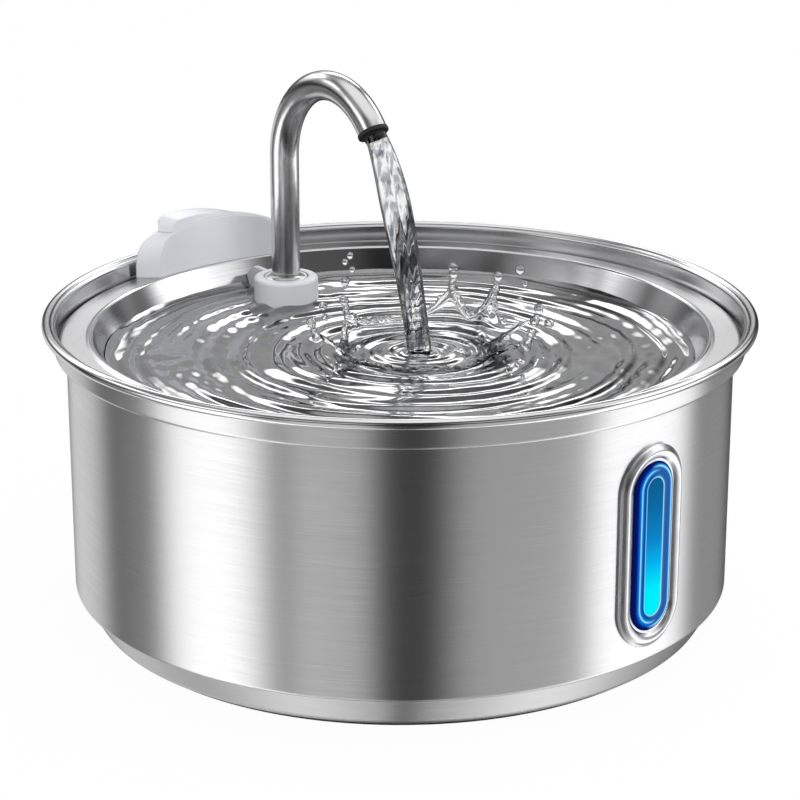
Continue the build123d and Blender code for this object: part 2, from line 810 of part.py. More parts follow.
# ------------------------------------------------------------------ pump cover, flow slider, sponge
with BuildPart() as pump_cover:
    with BuildSketch(lengthwise(cover_front)):
        with Locations((0, (cover_foot + casing_top) / 2)):
            RectangleRounded(2 * casing_half_width, casing_top - cover_foot, casing_round)
        with Locations(pump_centre):
            Circle(intake_radius, mode=Mode.SUBTRACT)
            Circle(bush_boss_radius)
            with PolarLocations(intake_radius / 2, spoke_count, start_angle=90):
                Rectangle(intake_radius, spoke_width)
    extrude(amount=-cover_thickness)
    with BuildSketch(lengthwise(shaft_front)):
        with Locations(pump_centre):
            Circle(bush_radius + turn_fit)
    extrude(amount=-(bush_boss_back - shaft_front), mode=Mode.SUBTRACT)
    rail_middle = slider_half_height + drop_fit + slider_rail / 2
    with BuildSketch(lengthwise(cover_front)):
        with Locations(
            (0, pump_axis_height + rail_middle),
            (0, pump_axis_height - rail_middle),
        ):
            Rectangle(2 * (casing_half_width - slider_rail), slider_rail)
    extrude(amount=slider_thickness + drop_fit)
save(pump_cover, "pump_cover")

with BuildPart() as flow_slider:
    with BuildSketch(lengthwise(cover_front - drop_fit / 2)):
        with Locations(pump_centre):
            Rectangle(2 * slider_half_length, 2 * slider_half_height)
            Circle(slider_hole, mode=Mode.SUBTRACT)
    extrude(amount=slider_thickness)
    with BuildSketch(lengthwise(cover_front - drop_fit / 2 - slider_thickness)):
        with Locations((slider_half_length - slider_tab, pump_axis_height)):
            Rectangle(slider_tab, slider_half_height)
    extrude(amount=slider_tab)
save(flow_slider, "flow_slider")

with BuildPart() as pump_sponge:
    with BuildSketch(lengthwise(box_front)):
        with Locations((0, (sponge_foot + sponge_top) / 2)):
            RectangleRounded(2 * casing_half_width, sponge_height, casing_wall)
    extrude(amount=-sponge_thickness)
save(pump_sponge, "pump_sponge")

# ------------------------------------------------------------------ pump lead and its grommet
lead_end = socket_centre_height - socket_height / 2
lead_route = [
    (0, lead_exit, cavity_top),
    (0, lead_exit, casing_top + lead_knee),
    (0, lead_rise, ledge_z - lead_shoulder),
    (0, lead_rise, lead_end),
]


def bend_radii(route):
    """Largest tangent arc for each corner of a lead's route."""
    points = [Vector(*point) for point in route]
    radii = []
    for before, corner, after in zip(points, points[1:], points[2:]):
        shorter = min((corner - before).length, (after - corner).length)
        turn = radians((corner - before).get_angle(after - corner))
        radii.append(0.45 * shorter / tan(turn / 2))
    return radii


lead_bends = bend_radii(lead_route)
with BuildPart() as pump_lead:
    with BuildLine() as lead_path:
        FilletPolyline(*lead_route, radius=lead_bends)
    with BuildSketch(Plane.XY.offset(cavity_top)):
        with Locations((0, lead_exit)):
            Circle(lead_radius)
    sweep(path=lead_path.wires()[0])
save(pump_lead, "pump_lead")
lead_length = lead_path.wires()[0].length
print("lead length", round(lead_length, 2), "bend radii", [round(radius, 1) for radius in lead_bends])
print("lead volume", round(pump_lead.part.volume, 2), "expected", round(pi * lead_radius**2 * lead_length, 2))

with BuildPart() as lead_grommet:
    with BuildSketch(Plane.XY.offset(ledge_z - sheet - grommet_flange_thickness)):
        with Locations((0, lead_rise)):
            Circle(grommet_flange)
    extrude(amount=grommet_flange_thickness)
    with BuildSketch(Plane.XY.offset(ledge_z - sheet)):
        with Locations((0, lead_rise)):
            Circle(grommet_neck)
    extrude(amount=sheet + grommet_flange_thickness)
    with BuildSketch(Plane.XY.offset(ledge_z - sheet - grommet_flange_thickness)):
        with Locations((0, lead_rise)):
            Circle(lead_radius + turn_fit)
    extrude(amount=3 * sheet + 2 * grommet_flange_thickness, mode=Mode.SUBTRACT)
save(lead_grommet, "lead_grommet")

# ------------------------------------------------------------------ rear housing and its cap
housing_plane = Plane(
    origin=(0, 0, ledge_z),
    x_dir=(-cos(housing_turn), -sin(housing_turn), 0),
    z_dir=(-sin(housing_turn), cos(housing_turn), 0),
)
splay = tan(radians(housing_splay))
housing_near = sqrt(housing_front_radius**2 - housing_front_half**2) - housing_wall
housing_far = housing_back_radius + housing_wall


def half_width(grow, depth):
    """Half the housing's width at a distance from the bowl's axis."""
    return housing_front_half + grow + (depth - housing_near - housing_wall) * splay


def housing_block(grow, inner, outer):
    """Arched block on the ledge that widens outwards, between two radii about the bowl's axis."""
    with BuildPart() as block:
        for depth in (housing_near, housing_far):
            half = half_width(grow, depth)
            top = housing_height + grow
            crown = housing_crown + grow
            side = top - crown + sqrt(crown**2 - half**2)
            with BuildSketch(housing_plane.offset(depth)) as arch:
                with BuildLine():
                    Polyline((-half, side), (-half, 0), (half, 0), (half, side))
                    ThreePointArc((half, side), (0, top), (-half, side))
                make_face()
                fillet(arch.vertices().group_by(Axis.Y)[-1], housing_corner + grow)
        loft()
        with BuildSketch(Plane.XY.offset(ledge_z)):
            Circle(outer)
            Circle(inner, mode=Mode.SUBTRACT)
        extrude(amount=2 * housing_height, mode=Mode.INTERSECT)
    return block.part


plan_plane = Plane(origin=(0, 0, ledge_z), x_dir=(cos(housing_turn), sin(housing_turn), 0), z_dir=(0, 0, 1))
cap_inner = housing_front_radius + cap_inset
cap_outer = housing_back_radius - cap_inset / 2


def cap_ends(depth):
    """Where the cap's tall and low ends stand across the housing, at a distance from the bowl's axis."""
    spread = (depth - housing_near) * tan(radians(cap_splay))
    return cap_tall_end + spread, -cap_low_end - spread


def cap_plan(margin):
    """Plan of the cap, drawn in by a margin: a piece of a ring between two splayed ends."""
    near_tall, near_low = cap_ends(housing_near)
    far_tall, far_low = cap_ends(housing_far)
    with BuildSketch() as plan:
        Circle(cap_outer - margin)
        Circle(cap_inner + margin, mode=Mode.SUBTRACT)
        Polygon(
            (margin - near_tall, housing_near),
            (-near_low - margin, housing_near),
            (-far_low - margin, housing_far),
            (margin - far_tall, housing_far),
            align=None,
            mode=Mode.INTERSECT,
        )
        fillet(plan.vertices(), cap_round)
    return plan.sketch


def cap_block():
    """Outside of the cap before it is fitted: a crest near its tall end that falls to its low end."""
    with BuildPart() as block:
        for depth in (housing_near, housing_far):
            tall, low = cap_ends(depth)
            crest = tall - cap_crest
            top = housing_height + cap_rise + (depth - housing_near) * tan(radians(cap_pitch))
            middle = top - cap_crown
            with BuildSketch(housing_plane.offset(depth)) as outline:
                with BuildLine():
                    Polyline(
                        (tall, middle + sqrt(cap_crown**2 - cap_crest**2)),
                        (tall, 0),
                        (low, 0),
                        (low, middle + sqrt(cap_crown**2 - (low - crest) ** 2)),
                    )
                    ThreePointArc(
                        (low, middle + sqrt(cap_crown**2 - (low - crest) ** 2)),
                        (crest, top),
                        (tall, middle + sqrt(cap_crown**2 - cap_crest**2)),
                    )
                make_face()
                fillet(outline.vertices().group_by(Axis.Y)[-1], cap_shoulder)
        loft()
    return block.part


housing_hollow = housing_block(
    -housing_wall,
    housing_front_radius + housing_wall,
    housing_back_radius - housing_wall,
)
with BuildPart() as rear_housing:
    add(housing_block(0, housing_front_radius, housing_back_radius))
    add(housing_hollow, mode=Mode.SUBTRACT)
    with BuildSketch(Plane.XY.offset(ledge_z)):
        with Locations(*screw_places):
            Circle(boss_radius)
    extrude(amount=boss_height)
    with BuildSketch(Plane.XY.offset(ledge_z)):
        with Locations(*screw_places):
            Circle(screw_radius + turn_fit)
    extrude(amount=screw_length, mode=Mode.SUBTRACT)
    with BuildSketch(plan_plane.offset(housing_height - housing_wall - housing_corner)):
        add(cap_plan(cap_border))
    extrude(amount=housing_corner + housing_wall, mode=Mode.SUBTRACT)
    with BuildSketch(lengthwise(housing_back_radius - 2 * housing_wall)):
        with Locations((0, socket_centre_height)):
            SlotOverall(port_length, port_height)
    extrude(amount=-3 * housing_wall, mode=Mode.SUBTRACT)
save(rear_housing, "rear_housing")

with BuildPart() as housing_cap:
    add(cap_block())
    add(housing_block(0, housing_front_radius, housing_back_radius), mode=Mode.SUBTRACT)
    with BuildSketch(plan_plane):
        add(cap_plan(0))
    extrude(amount=2 * housing_height, mode=Mode.INTERSECT)
    with BuildPart(mode=Mode.PRIVATE) as plug:
        add(housing_block(0, housing_front_radius, housing_back_radius))
        add(housing_hollow, mode=Mode.SUBTRACT)
        with BuildSketch(plan_plane.offset(housing_height - housing_wall - housing_corner)):
            add(cap_plan(cap_border + turn_fit))
        extrude(amount=housing_corner + housing_wall, mode=Mode.INTERSECT)
    add(plug.part)
save(housing_cap, "housing_cap")

# ------------------------------------------------------------------ inlet socket and housing screws
socket_front = housing_front_radius + housing_wall + drop_fit
socket_back = housing_back_radius - housing_wall
with BuildPart() as inlet_socket:
    with BuildSketch(lengthwise(socket_front)):
        with Locations((0, socket_centre_height)):
            Rectangle(socket_length, socket_height)
    extrude(amount=-(socket_back - socket_front))
    with BuildSketch():
        Circle(socket_back)
    extrude(amount=2 * socket_centre_height, mode=Mode.INTERSECT)
    with BuildSketch(lengthwise(socket_back - socket_depth)):
        with Locations((0, socket_centre_height)):
            SlotOverall(port_length, port_height)
    extrude(amount=-socket_depth, mode=Mode.SUBTRACT)
save(inlet_socket, "inlet_socket")

with BuildPart() as inlet_contacts:
    with BuildSketch(lengthwise(socket_back - socket_depth)):
        with Locations((0, socket_centre_height)):
            Rectangle(port_length - port_height, contact_thickness)
    extrude(amount=-(socket_depth - 2 * drop_fit))
save(inlet_contacts, "inlet_contacts")

with BuildPart() as housing_screws:
    with BuildSketch(Plane.XY.offset(ledge_z - sheet - screw_head)):
        with Locations(*screw_places):
            Circle(screw_head_radius)
    extrude(amount=screw_head)
    with BuildSketch(Plane.XY.offset(ledge_z - sheet)):
        with Locations(*screw_places):
            Circle(screw_radius)
    extrude(amount=sheet + screw_length - drop_fit)
save(housing_screws, "housing_screws")

# ------------------------------------------------------------------ filter
basket_foot = floor_z - basket_depth
basket_inner = basket_radius - basket_wall
basket_flange_radius = basket_radius + basket_flange
cartridge_radius = basket_inner - drop_fit
cartridge_foot = basket_foot + basket_wall
cartridge_top = cartridge_foot + cartridge_height
bed_radius = cartridge_radius - cartridge_wall
drain_cover_z = floor_z + basket_flange_thickness


def drain_holes(outer):
    """Rings of round holes out to a radius."""
    ring = drain_inner_ring
    while ring + drain_hole < outer:
        with PolarLocations(ring, int(2 * pi * ring / drain_hole_pitch)):
            Circle(drain_hole, mode=Mode.SUBTRACT)
        ring += drain_ring_spacing


with BuildPart() as filter_basket:
    with BuildSketch(Plane.XY.offset(basket_foot)):
        Circle(basket_radius)
        Circle(bed_radius - basket_ledge, mode=Mode.SUBTRACT)
        Circle(basket_hub_radius)
        with PolarLocations(bed_radius / 2, spider_arms):
            Rectangle(bed_radius, spider_arm_width)
    extrude(amount=basket_wall)
    with BuildSketch(Plane.XY.offset(basket_foot)):
        Circle(basket_radius)
        Circle(basket_inner, mode=Mode.SUBTRACT)
    extrude(amount=basket_depth)
    with BuildSketch(Plane.XY.offset(floor_z)):
        Circle(basket_flange_radius)
        Circle(basket_inner, mode=Mode.SUBTRACT)
    extrude(amount=basket_flange_thickness)
save(filter_basket, "filter_basket")

with BuildPart() as cartridge_shell:
    with BuildSketch(Plane.XY.offset(cartridge_foot)):
        Circle(cartridge_radius)
        drain_holes(bed_radius)
    extrude(amount=cartridge_wall)
    with BuildSketch(Plane.XY.offset(cartridge_foot)):
        Circle(cartridge_radius)
        Circle(bed_radius, mode=Mode.SUBTRACT)
    extrude(amount=cartridge_height)
save(cartridge_shell, "cartridge_shell")

with BuildPart() as carbon_bed:
    with BuildSketch(Plane.XY.offset(cartridge_foot + cartridge_wall)):
        Circle(bed_radius)
    extrude(amount=cartridge_height - cartridge_wall - fibre_thickness)
save(carbon_bed, "carbon_bed")

with BuildPart() as fibre_pad:
    with BuildSketch(Plane.XY.offset(cartridge_top - fibre_thickness)):
        Circle(bed_radius)
    extrude(amount=fibre_thickness)
save(fibre_pad, "fibre_pad")

with BuildPart() as drain_cover:
    with BuildSketch(Plane.XY.offset(cartridge_top)):
        Circle(cartridge_radius)
        Circle(bed_radius, mode=Mode.SUBTRACT)
    extrude(amount=drain_cover_z - cartridge_top)
    with BuildSketch(Plane.XY.offset(drain_cover_z)):
        Circle(basket_flange_radius)
        drain_holes(bed_radius)
    extrude(amount=drain_thickness)
save(drain_cover, "drain_cover")

with BuildPart() as drain_knob:
    with BuildSketch(Plane.XY.offset(drain_cover_z + drain_thickness)):
        Circle(knob_radius)
    extrude(amount=knob_height)
    fillet(drain_knob.faces().sort_by(Axis.Z)[-1].edges(), knob_round)
save(drain_knob, "drain_knob")
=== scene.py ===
import math
import random

import bmesh
import bpy
from mathutils import Matrix, Vector, noise


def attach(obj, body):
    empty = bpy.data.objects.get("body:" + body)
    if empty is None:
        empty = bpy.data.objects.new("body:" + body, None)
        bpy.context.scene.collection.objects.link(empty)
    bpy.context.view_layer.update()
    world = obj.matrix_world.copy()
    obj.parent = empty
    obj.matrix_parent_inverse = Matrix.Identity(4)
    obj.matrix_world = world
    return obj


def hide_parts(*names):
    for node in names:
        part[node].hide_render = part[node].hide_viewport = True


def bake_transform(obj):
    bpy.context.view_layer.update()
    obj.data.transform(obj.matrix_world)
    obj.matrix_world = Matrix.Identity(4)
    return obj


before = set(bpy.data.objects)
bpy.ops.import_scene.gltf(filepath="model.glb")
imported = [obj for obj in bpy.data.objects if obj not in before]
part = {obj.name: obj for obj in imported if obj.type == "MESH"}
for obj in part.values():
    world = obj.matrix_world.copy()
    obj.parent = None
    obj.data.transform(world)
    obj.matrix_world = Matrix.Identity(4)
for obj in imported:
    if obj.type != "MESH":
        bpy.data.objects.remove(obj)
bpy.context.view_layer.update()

# ---------------------------------------------------------------- bowl
# The reservoir: one drawing of 304 stainless sheet, 0.8 mm thick, with a tapered
# foot band, a stepped neck and a rolled rim. It is belt-brushed as it turns, so
# the lines run round it and smear every highlight up and down the wall.


def linear(colour):
    """sRGB hex, as on a colour card, to the linear RGBA that is mixed."""
    shares = [int(colour[i:i + 2], 16) / 255 for i in (1, 3, 5)]
    return [s / 12.92 if s <= 0.04045 else ((s + 0.055) / 1.055) ** 2.4 for s in shares] + [1.0]


def add_node(tree, kind, inputs=(), stops=(), **settings):
    """Adds a node. inputs maps a socket's name or number to a value or to the socket that feeds it;
    stops are the (place, colour) pairs of a colour ramp."""
    made = tree.nodes.new(kind)
    for name, value in settings.items():
        setattr(made, name, value)
    for key, value in dict(inputs).items():
        if isinstance(value, bpy.types.NodeSocket):
            tree.links.new(value, made.inputs[key])
        else:
            made.inputs[key].default_value = value
    for stop in stops[1:-1]:
        made.color_ramp.elements.new(stop[0])
    for number, (place, colour) in enumerate(stops):
        made.color_ramp.elements[number].position = place
        made.color_ramp.elements[number].color = linear(colour)
    return made


def new_finish(name, **values):
    """A material with one surface shader; values are set on the shader's own sockets."""
    material = bpy.data.materials.new(name)
    material.use_nodes = True
    surface = material.node_tree.nodes["Principled BSDF"]
    for socket, value in values.items():
        surface.inputs[socket.replace("_", " ")].default_value = value
    return material, material.node_tree, surface


def turned_steel(name, colour, dark, line_mm, rough, depth, across=0.0):
    """Stainless brushed or turned round the bowl's axis, in lines of line_mm that are depth mm deep.
    across is how strongly highlights smear over the lines."""
    breaks = 3.2  # how often a line fades and starts again on its way round
    spread = 0.03  # how far the roughness strays, both ways
    material, tree, surface = new_finish(name, Metallic=1.0, Anisotropic=across, Anisotropic_Rotation=0.25)
    where = add_node(tree, "ShaderNodeTexCoord").outputs["Object"]
    xyz = add_node(tree, "ShaderNodeSeparateXYZ", {0: where})
    flat = add_node(tree, "ShaderNodeCombineXYZ", {0: xyz.outputs[0], 1: xyz.outputs[1]})
    away = add_node(tree, "ShaderNodeVectorMath", {0: flat.outputs[0]}, operation="LENGTH").outputs["Value"]
    round_it = add_node(tree, "ShaderNodeVectorMath", {0: flat.outputs[0]}, operation="NORMALIZE").outputs[0]
    stroke = add_node(tree, "ShaderNodeVectorMath", {0: round_it, 1: (breaks, breaks, 0)},
                      operation="MULTIPLY").outputs[0]
    over = add_node(tree, "ShaderNodeMath", {0: away, 1: xyz.outputs[2]}, operation="ADD").outputs[0]
    lines = add_node(tree, "ShaderNodeMath", {0: over, 1: 1000 / line_mm}, operation="MULTIPLY").outputs[0]
    lift = add_node(tree, "ShaderNodeCombineXYZ", {2: lines}).outputs[0]
    place = add_node(tree, "ShaderNodeVectorMath", {0: stroke, 1: lift}, operation="ADD").outputs[0]
    grain = add_node(tree, "ShaderNodeTexNoise",
                     {"Vector": place, "Scale": 1.0, "Detail": 3.0, "Roughness": 0.65}).outputs[0]
    tone = add_node(tree, "ShaderNodeMapRange", {0: grain, 1: 0.3, 2: 0.7}).outputs[0]
    mix = add_node(tree, "ShaderNodeMix", {0: tone, 6: linear(dark), 7: linear(colour)},
                   data_type="RGBA").outputs[2]
    tree.links.new(mix, surface.inputs["Base Color"])
    scuff = add_node(tree, "ShaderNodeMapRange",
                     {0: grain, 1: 0.3, 2: 0.7, 3: rough + spread, 4: rough - spread})
    tree.links.new(scuff.outputs[0], surface.inputs["Roughness"])
    bump = add_node(tree, "ShaderNodeBump", {"Height": grain, "Strength": 1.0, "Distance": depth / 1000})
    tree.links.new(bump.outputs[0], surface.inputs["Normal"])
    ring = add_node(tree, "ShaderNodeTangent", direction_type="RADIAL", axis="Z")
    tree.links.new(ring.outputs[0], surface.inputs["Tangent"])
    return material


def rounded(points, radii):
    """A line through (radius, height) points, with an arc at each inner point and straights cut into
    short steps. A point close to each end of a straight keeps its shading flat."""
    arc_steps = 6
    longest_step = 0.004
    shortest_cut = 0.0008
    support = 0.0002
    stretches = []
    for before, corner, after, radius in zip(points, points[1:], points[2:], radii):
        corner = Vector(corner)
        back = (Vector(before) - corner).normalized()
        on = (Vector(after) - corner).normalized()
        half = back.angle(on) / 2
        centre = corner + (back + on).normalized() * radius / math.sin(half)
        start = corner + back * radius / math.tan(half)
        end = corner + on * radius / math.tan(half)
        arc = [(start - centre).slerp(end - centre, step / arc_steps).normalized() * radius
               for step in range(arc_steps + 1)]
        stretches.append([centre + spoke for spoke in arc])
    line = [Vector(points[0])]
    for arc in stretches + [[Vector(points[-1])]]:
        begin = line[-1]
        straight = arc[0] - begin
        count = math.ceil(straight.length / longest_step)
        if straight.length > shortest_cut:
            near = support / straight.length
            shares = (near, *(step / count for step in range(1, count)), 1 - near)
            line += [begin + straight * share for share in shares]
        line += arc
    return line


def bent_sheet(points, radii, sheet):
    """Section of a bent sheet: the given face, then back along its other face, which lies to the left."""
    sharpest = 0.0001
    line = [Vector(point) for point in points]
    ways = [(end - start).normalized() for start, end in zip(line, line[1:])]
    lefts = [Vector((-way.y, way.x)) for way in ways]
    other = [line[0] + lefts[0] * sheet]
    other_radii = []
    for corner, radius, way, left, next_left in zip(line[1:], radii, ways, lefts, lefts[1:]):
        other.append(corner + (left + next_left) * sheet / (1 + left.dot(next_left)))
        turns_left = way.dot(next_left) < 0
        other_radii.append(max(radius - sheet, sharpest) if turns_left else radius + sheet)
    other.append(line[-1] + lefts[-1] * sheet)
    return rounded(line, radii) + rounded(other, other_radii)[::-1]


def spun(name, section, shut=False, steps=360):
    """A piece turned about the bowl's axis from a section of (radius, height) points, shut or open:
    first an eighth, which is then doubled three times."""
    shape = bmesh.new()
    points = [shape.verts.new((radius, 0, height)) for radius, height in section]
    pairs = zip(points, points[1:] + points[:1]) if shut else zip(points, points[1:])
    edges = [shape.edges.new(pair) for pair in pairs]
    bmesh.ops.spin(shape, geom=points + edges, cent=(0, 0, 0), axis=(0, 0, 1),
                   angle=math.tau / 8, steps=steps // 8)
    for share in (8, 4, 2):
        copy = bmesh.ops.duplicate(shape, geom=shape.verts[:] + shape.edges[:] + shape.faces[:])["geom"]
        moved = [element for element in copy if isinstance(element, bmesh.types.BMVert)]
        turn = Matrix.Rotation(math.tau / share, 3, "Z")
        bmesh.ops.rotate(shape, verts=moved, cent=(0, 0, 0), matrix=turn)
    bmesh.ops.remove_doubles(shape, verts=shape.verts, dist=1e-6)
    bmesh.ops.recalc_face_normals(shape, faces=shape.faces)
    return finished(name, shape)


def finished(name, shape, sharp=35):
    """Turns a bmesh into an object with smooth faces, parted at edges sharper than an angle in degrees."""
    for face in shape.faces:
        face.smooth = True
    mesh = bpy.data.meshes.new(name)
    shape.to_mesh(mesh)
    shape.free()
    mesh.set_sharp_from_angle(angle=math.radians(sharp))
    piece = bpy.data.objects.new(name, mesh)
    bpy.context.scene.collection.objects.link(piece)
    return piece


def baked(piece):
    """Applies a piece's modifiers."""
    shape = bpy.data.meshes.new_from_object(piece.evaluated_get(bpy.context.evaluated_depsgraph_get()))
    piece.modifiers.clear()
    piece.data = shape
    return piece


steel = 0.0008
bowl_radius = 0.1029
neck_radius = 0.1064
step_height = 0.0883
bead_middle = Vector((0.1084, 0.0966))
bead_radius = 0.0016
bead_steps = 32
underside = 0.0012
foot_radius = 0.0954
band_radius = 0.1014
band_height = 0.01185
neck_flare = 0.0002
flange_height = 0.0965
flange_radius = 0.108
bowl_face = [(0, underside), (foot_radius, underside), (band_radius, band_height),
             (bowl_radius, band_height), (bowl_radius, step_height), (neck_radius, step_height),
             (neck_radius + neck_flare, flange_height), (flange_radius, flange_height)]
bowl_bends = (0.005, 0.0003, 0.0012, 0.0008, 0.0012, 0.0005)
bead = [bead_middle + Matrix.Rotation(math.tau * step / bead_steps, 2) @ Vector((bead_radius, 0))
        for step in range(bead_steps)]
bowl = spun("bowl_drawing", bent_sheet(bowl_face, bowl_bends, steel))

window_bearing = math.radians(10.7)
window_turn = Matrix.Rotation(window_bearing, 4, "Z")
window_middle = 0.0479
slot_half_width = 0.01065
slot_half_height = 0.02835
cut_from = 0.120
cut_depth = 0.060


def racetrack(shape, half_width, half_height, depth):
    """An upright slot outline facing -Y, about the window's middle; returns its edges."""
    turn = Matrix.Translation((0, -depth, 0)) @ Matrix.Rotation(math.radians(90), 4, "X")
    made = bmesh.ops.create_circle(shape, segments=64, radius=half_width, matrix=turn)
    for point in made["verts"]:
        point.co.z += math.copysign(half_height - half_width, point.co.z)
    return list({edge for point in made["verts"] for edge in point.link_edges})


# The slot is cut in the sheet alone, before the rim's bead is added. The bead overlaps the sheet, and an
# exact cut through both at once came out differently from one run to the next.
cut = bmesh.new()
bmesh.ops.contextual_create(cut, geom=racetrack(cut, slot_half_width, slot_half_height, cut_from))
through = bmesh.ops.extrude_face_region(cut, geom=cut.faces[:])["geom"]
far_end = [element for element in through if isinstance(element, bmesh.types.BMVert)]
bmesh.ops.translate(cut, vec=(0, cut_depth, 0), verts=far_end)
bmesh.ops.transform(cut, matrix=window_turn @ Matrix.Translation((0, 0, window_middle)), verts=cut.verts)
bmesh.ops.recalc_face_normals(cut, faces=cut.faces)
slot_cutter = finished("slot_cutter", cut)
window_slot = bowl.modifiers.new("window_slot", "BOOLEAN")
window_slot.operation = "DIFFERENCE"
window_slot.solver = "MANIFOLD"
window_slot.object = slot_cutter
baked(bowl)
bpy.data.objects.remove(slot_cutter)
rolled_rim = spun("rolled_rim", bead, shut=True)
whole = bmesh.new()
whole.from_mesh(bowl.data)
whole.from_mesh(rolled_rim.data)
whole.to_mesh(bowl.data)
whole.free()
bpy.data.objects.remove(rolled_rim)
bowl.data.materials.clear()
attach(bowl, "bowl")
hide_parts("bowl")

# Belt-brushed steel: soft upright bands of light and dark, with a fine grain round the wall.
brushed_stainless = turned_steel("brushed_stainless_bowl", "#CFCFD0", "#C6C6C7", 0.25, 0.30, 0.0012, 0.8)
# Buffed steel: the rolled rim catches thin, sharp lines of light.
polished_rim = turned_steel("polished_stainless_rim", "#DADADB", "#D0D0D1", 0.8, 0.16, 0.001)
# Turned steel, smoother than the wall: the neck mirrors the studio a little blurred.
turned_neck = turned_steel("turned_stainless_neck", "#CFCFD0", "#C4C4C5", 0.25, 0.17, 0.0008, 0.3)
near_bead = 0.0001
neck_inside = 0.0004
for finish in (brushed_stainless, polished_rim, turned_neck):
    bowl.data.materials.append(finish)
for face in bowl.data.polygons:
    middle = Vector((face.center.xy.length, face.center.z))
    on_bead = (middle - bead_middle).length < bead_radius + near_bead
    inside_neck = middle.y > step_height and middle.x < neck_radius - neck_inside
    face.material_index = 1 if on_bead else 2 if inside_neck else 0

# ---------------------------------------------------------------- foot ring
# A flat ring of black rubber glued under the bowl. It keeps the steel off the floor;
# moulded rubber is dull, with a slight bloom that makes it a little uneven.


def moulded(name, colour, other, grain_mm, rough, depth, edge_mm=0.25, **values):
    """Moulded plastic or rubber: colour drifts to the other one in patches of patch_mm, over a tooled
    grain of grain_mm that is depth mm deep. edge_mm is how far its corners are softened, which draws a
    thin light along them."""
    patch_mm = 28.57
    spread = 0.04  # how far the roughness strays, both ways
    material, tree, surface = new_finish(name, Roughness=rough, **values)
    where = add_node(tree, "ShaderNodeTexCoord").outputs["Object"]
    drift = add_node(tree, "ShaderNodeTexNoise",
                     {"Vector": where, "Scale": 1000 / patch_mm, "Detail": 2.0}).outputs[0]
    grain = add_node(tree, "ShaderNodeTexNoise",
                     {"Vector": where, "Scale": 1000 / grain_mm, "Detail": 2.0}).outputs[0]
    tone = add_node(tree, "ShaderNodeMapRange", {0: drift, 1: 0.35, 2: 0.65}).outputs[0]
    mix = add_node(tree, "ShaderNodeMix", {0: tone, 6: linear(colour), 7: linear(other)},
                   data_type="RGBA").outputs[2]
    tree.links.new(mix, surface.inputs["Base Color"])
    scuff = add_node(tree, "ShaderNodeMapRange",
                     {0: grain, 1: 0.3, 2: 0.7, 3: rough - spread, 4: rough + spread}).outputs[0]
    tree.links.new(scuff, surface.inputs["Roughness"])
    soft = add_node(tree, "ShaderNodeBevel", {"Radius": edge_mm / 1000}, samples=6).outputs[0]
    bump = add_node(tree, "ShaderNodeBump",
                    {"Height": grain, "Strength": 1.0, "Distance": depth / 1000, "Normal": soft})
    tree.links.new(bump.outputs[0], surface.inputs["Normal"])
    return material


def finish_with(material, *names):
    """Puts a finish on CAD nodes."""
    for name in names:
        for place in part[name].material_slots:
            place.material = material


# Moulded rubber: near black and dull, it shows only a soft edge.
black_rubber = moulded("moulded_black_rubber", "#1B1B1C", "#252526", 0.6, 0.62, 0.02)
finish_with(black_rubber, "foot_ring")

# ---------------------------------------------------------------- level window
# A chromed zinc bezel round a clear blue acrylic lens. A lit panel glows behind the
# lens, brightest at the bottom. A silicone gasket and a plastic ring hold it inside.
bezel_half_width = 0.0133
bezel_half_height = 0.0310
bezel_straight = bezel_half_height - bezel_half_width
lens_half_width = 0.00845


def wrapped(shape):
    """Bends a piece drawn flat before the bowl, at y = -depth, round its wall and moves it to the window."""
    for point in shape.verts:
        turn = point.co.x / bowl_radius
        away = -point.co.y
        point.co = Vector((math.sin(turn) * away, -math.cos(turn) * away, point.co.z + window_middle))
    bmesh.ops.transform(shape, matrix=window_turn, verts=shape.verts)


def ridged(name, ridge):
    """A racetrack-shaped ring whose section is a line of (half width, stand-off) points."""
    shape = bmesh.new()
    loops = [racetrack(shape, half, half + bezel_straight, bowl_radius + proud) for half, proud in ridge]
    for one, two in zip(loops, loops[1:] + loops[:1]):
        bmesh.ops.bridge_loops(shape, edges=one + two)
    wrapped(shape)
    bmesh.ops.recalc_face_normals(shape, faces=shape.faces)
    return finished(name, shape, sharp=50)


bezel_section = rounded(
    [(0.0085, -0.0026), (0.0085, 0.0002), (0.0098, 0.0016), (0.0114, 0.0022), (0.0127, 0.0011),
     (bezel_half_width, 0.0008), (bezel_half_width, -0.0002), (0.0100, -0.0026)],
    (0.0003, 0.0012, 0.0014, 0.0003, 0.0003, 0.0001, 0.0001),
)
bezel = ridged("window_bezel", bezel_section)
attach(bezel, "bowl")
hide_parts("window_frame")


def polished(name, colour, other, rough):
    """Polished metal, with the slight waviness that buffing leaves."""
    wave_mm = 6.25
    wave_depth = 0.00008
    uneven = 0.3  # share of the roughness by which it strays, both ways
    material, tree, surface = new_finish(name, Metallic=1.0, Roughness=rough)
    where = add_node(tree, "ShaderNodeTexCoord").outputs["Object"]
    wave = add_node(tree, "ShaderNodeTexNoise",
                    {"Vector": where, "Scale": 1000 / wave_mm, "Detail": 2.0}).outputs[0]
    mix = add_node(tree, "ShaderNodeMix", {0: wave, 6: linear(colour), 7: linear(other)},
                   data_type="RGBA").outputs[2]
    tree.links.new(mix, surface.inputs["Base Color"])
    scuff = add_node(tree, "ShaderNodeMapRange", {0: wave, 3: rough * (1 - uneven), 4: rough * (1 + uneven)})
    tree.links.new(scuff.outputs[0], surface.inputs["Roughness"])
    bump = add_node(tree, "ShaderNodeBump", {"Height": wave, "Strength": 1.0, "Distance": wave_depth})
    tree.links.new(bump.outputs[0], surface.inputs["Normal"])
    return material


# Satin chrome: bright, with soft reflections that follow the ridge.
bezel.data.materials.append(polished("satin_chromed_bezel", "#D4D4D6", "#C6C6C8", 0.30))

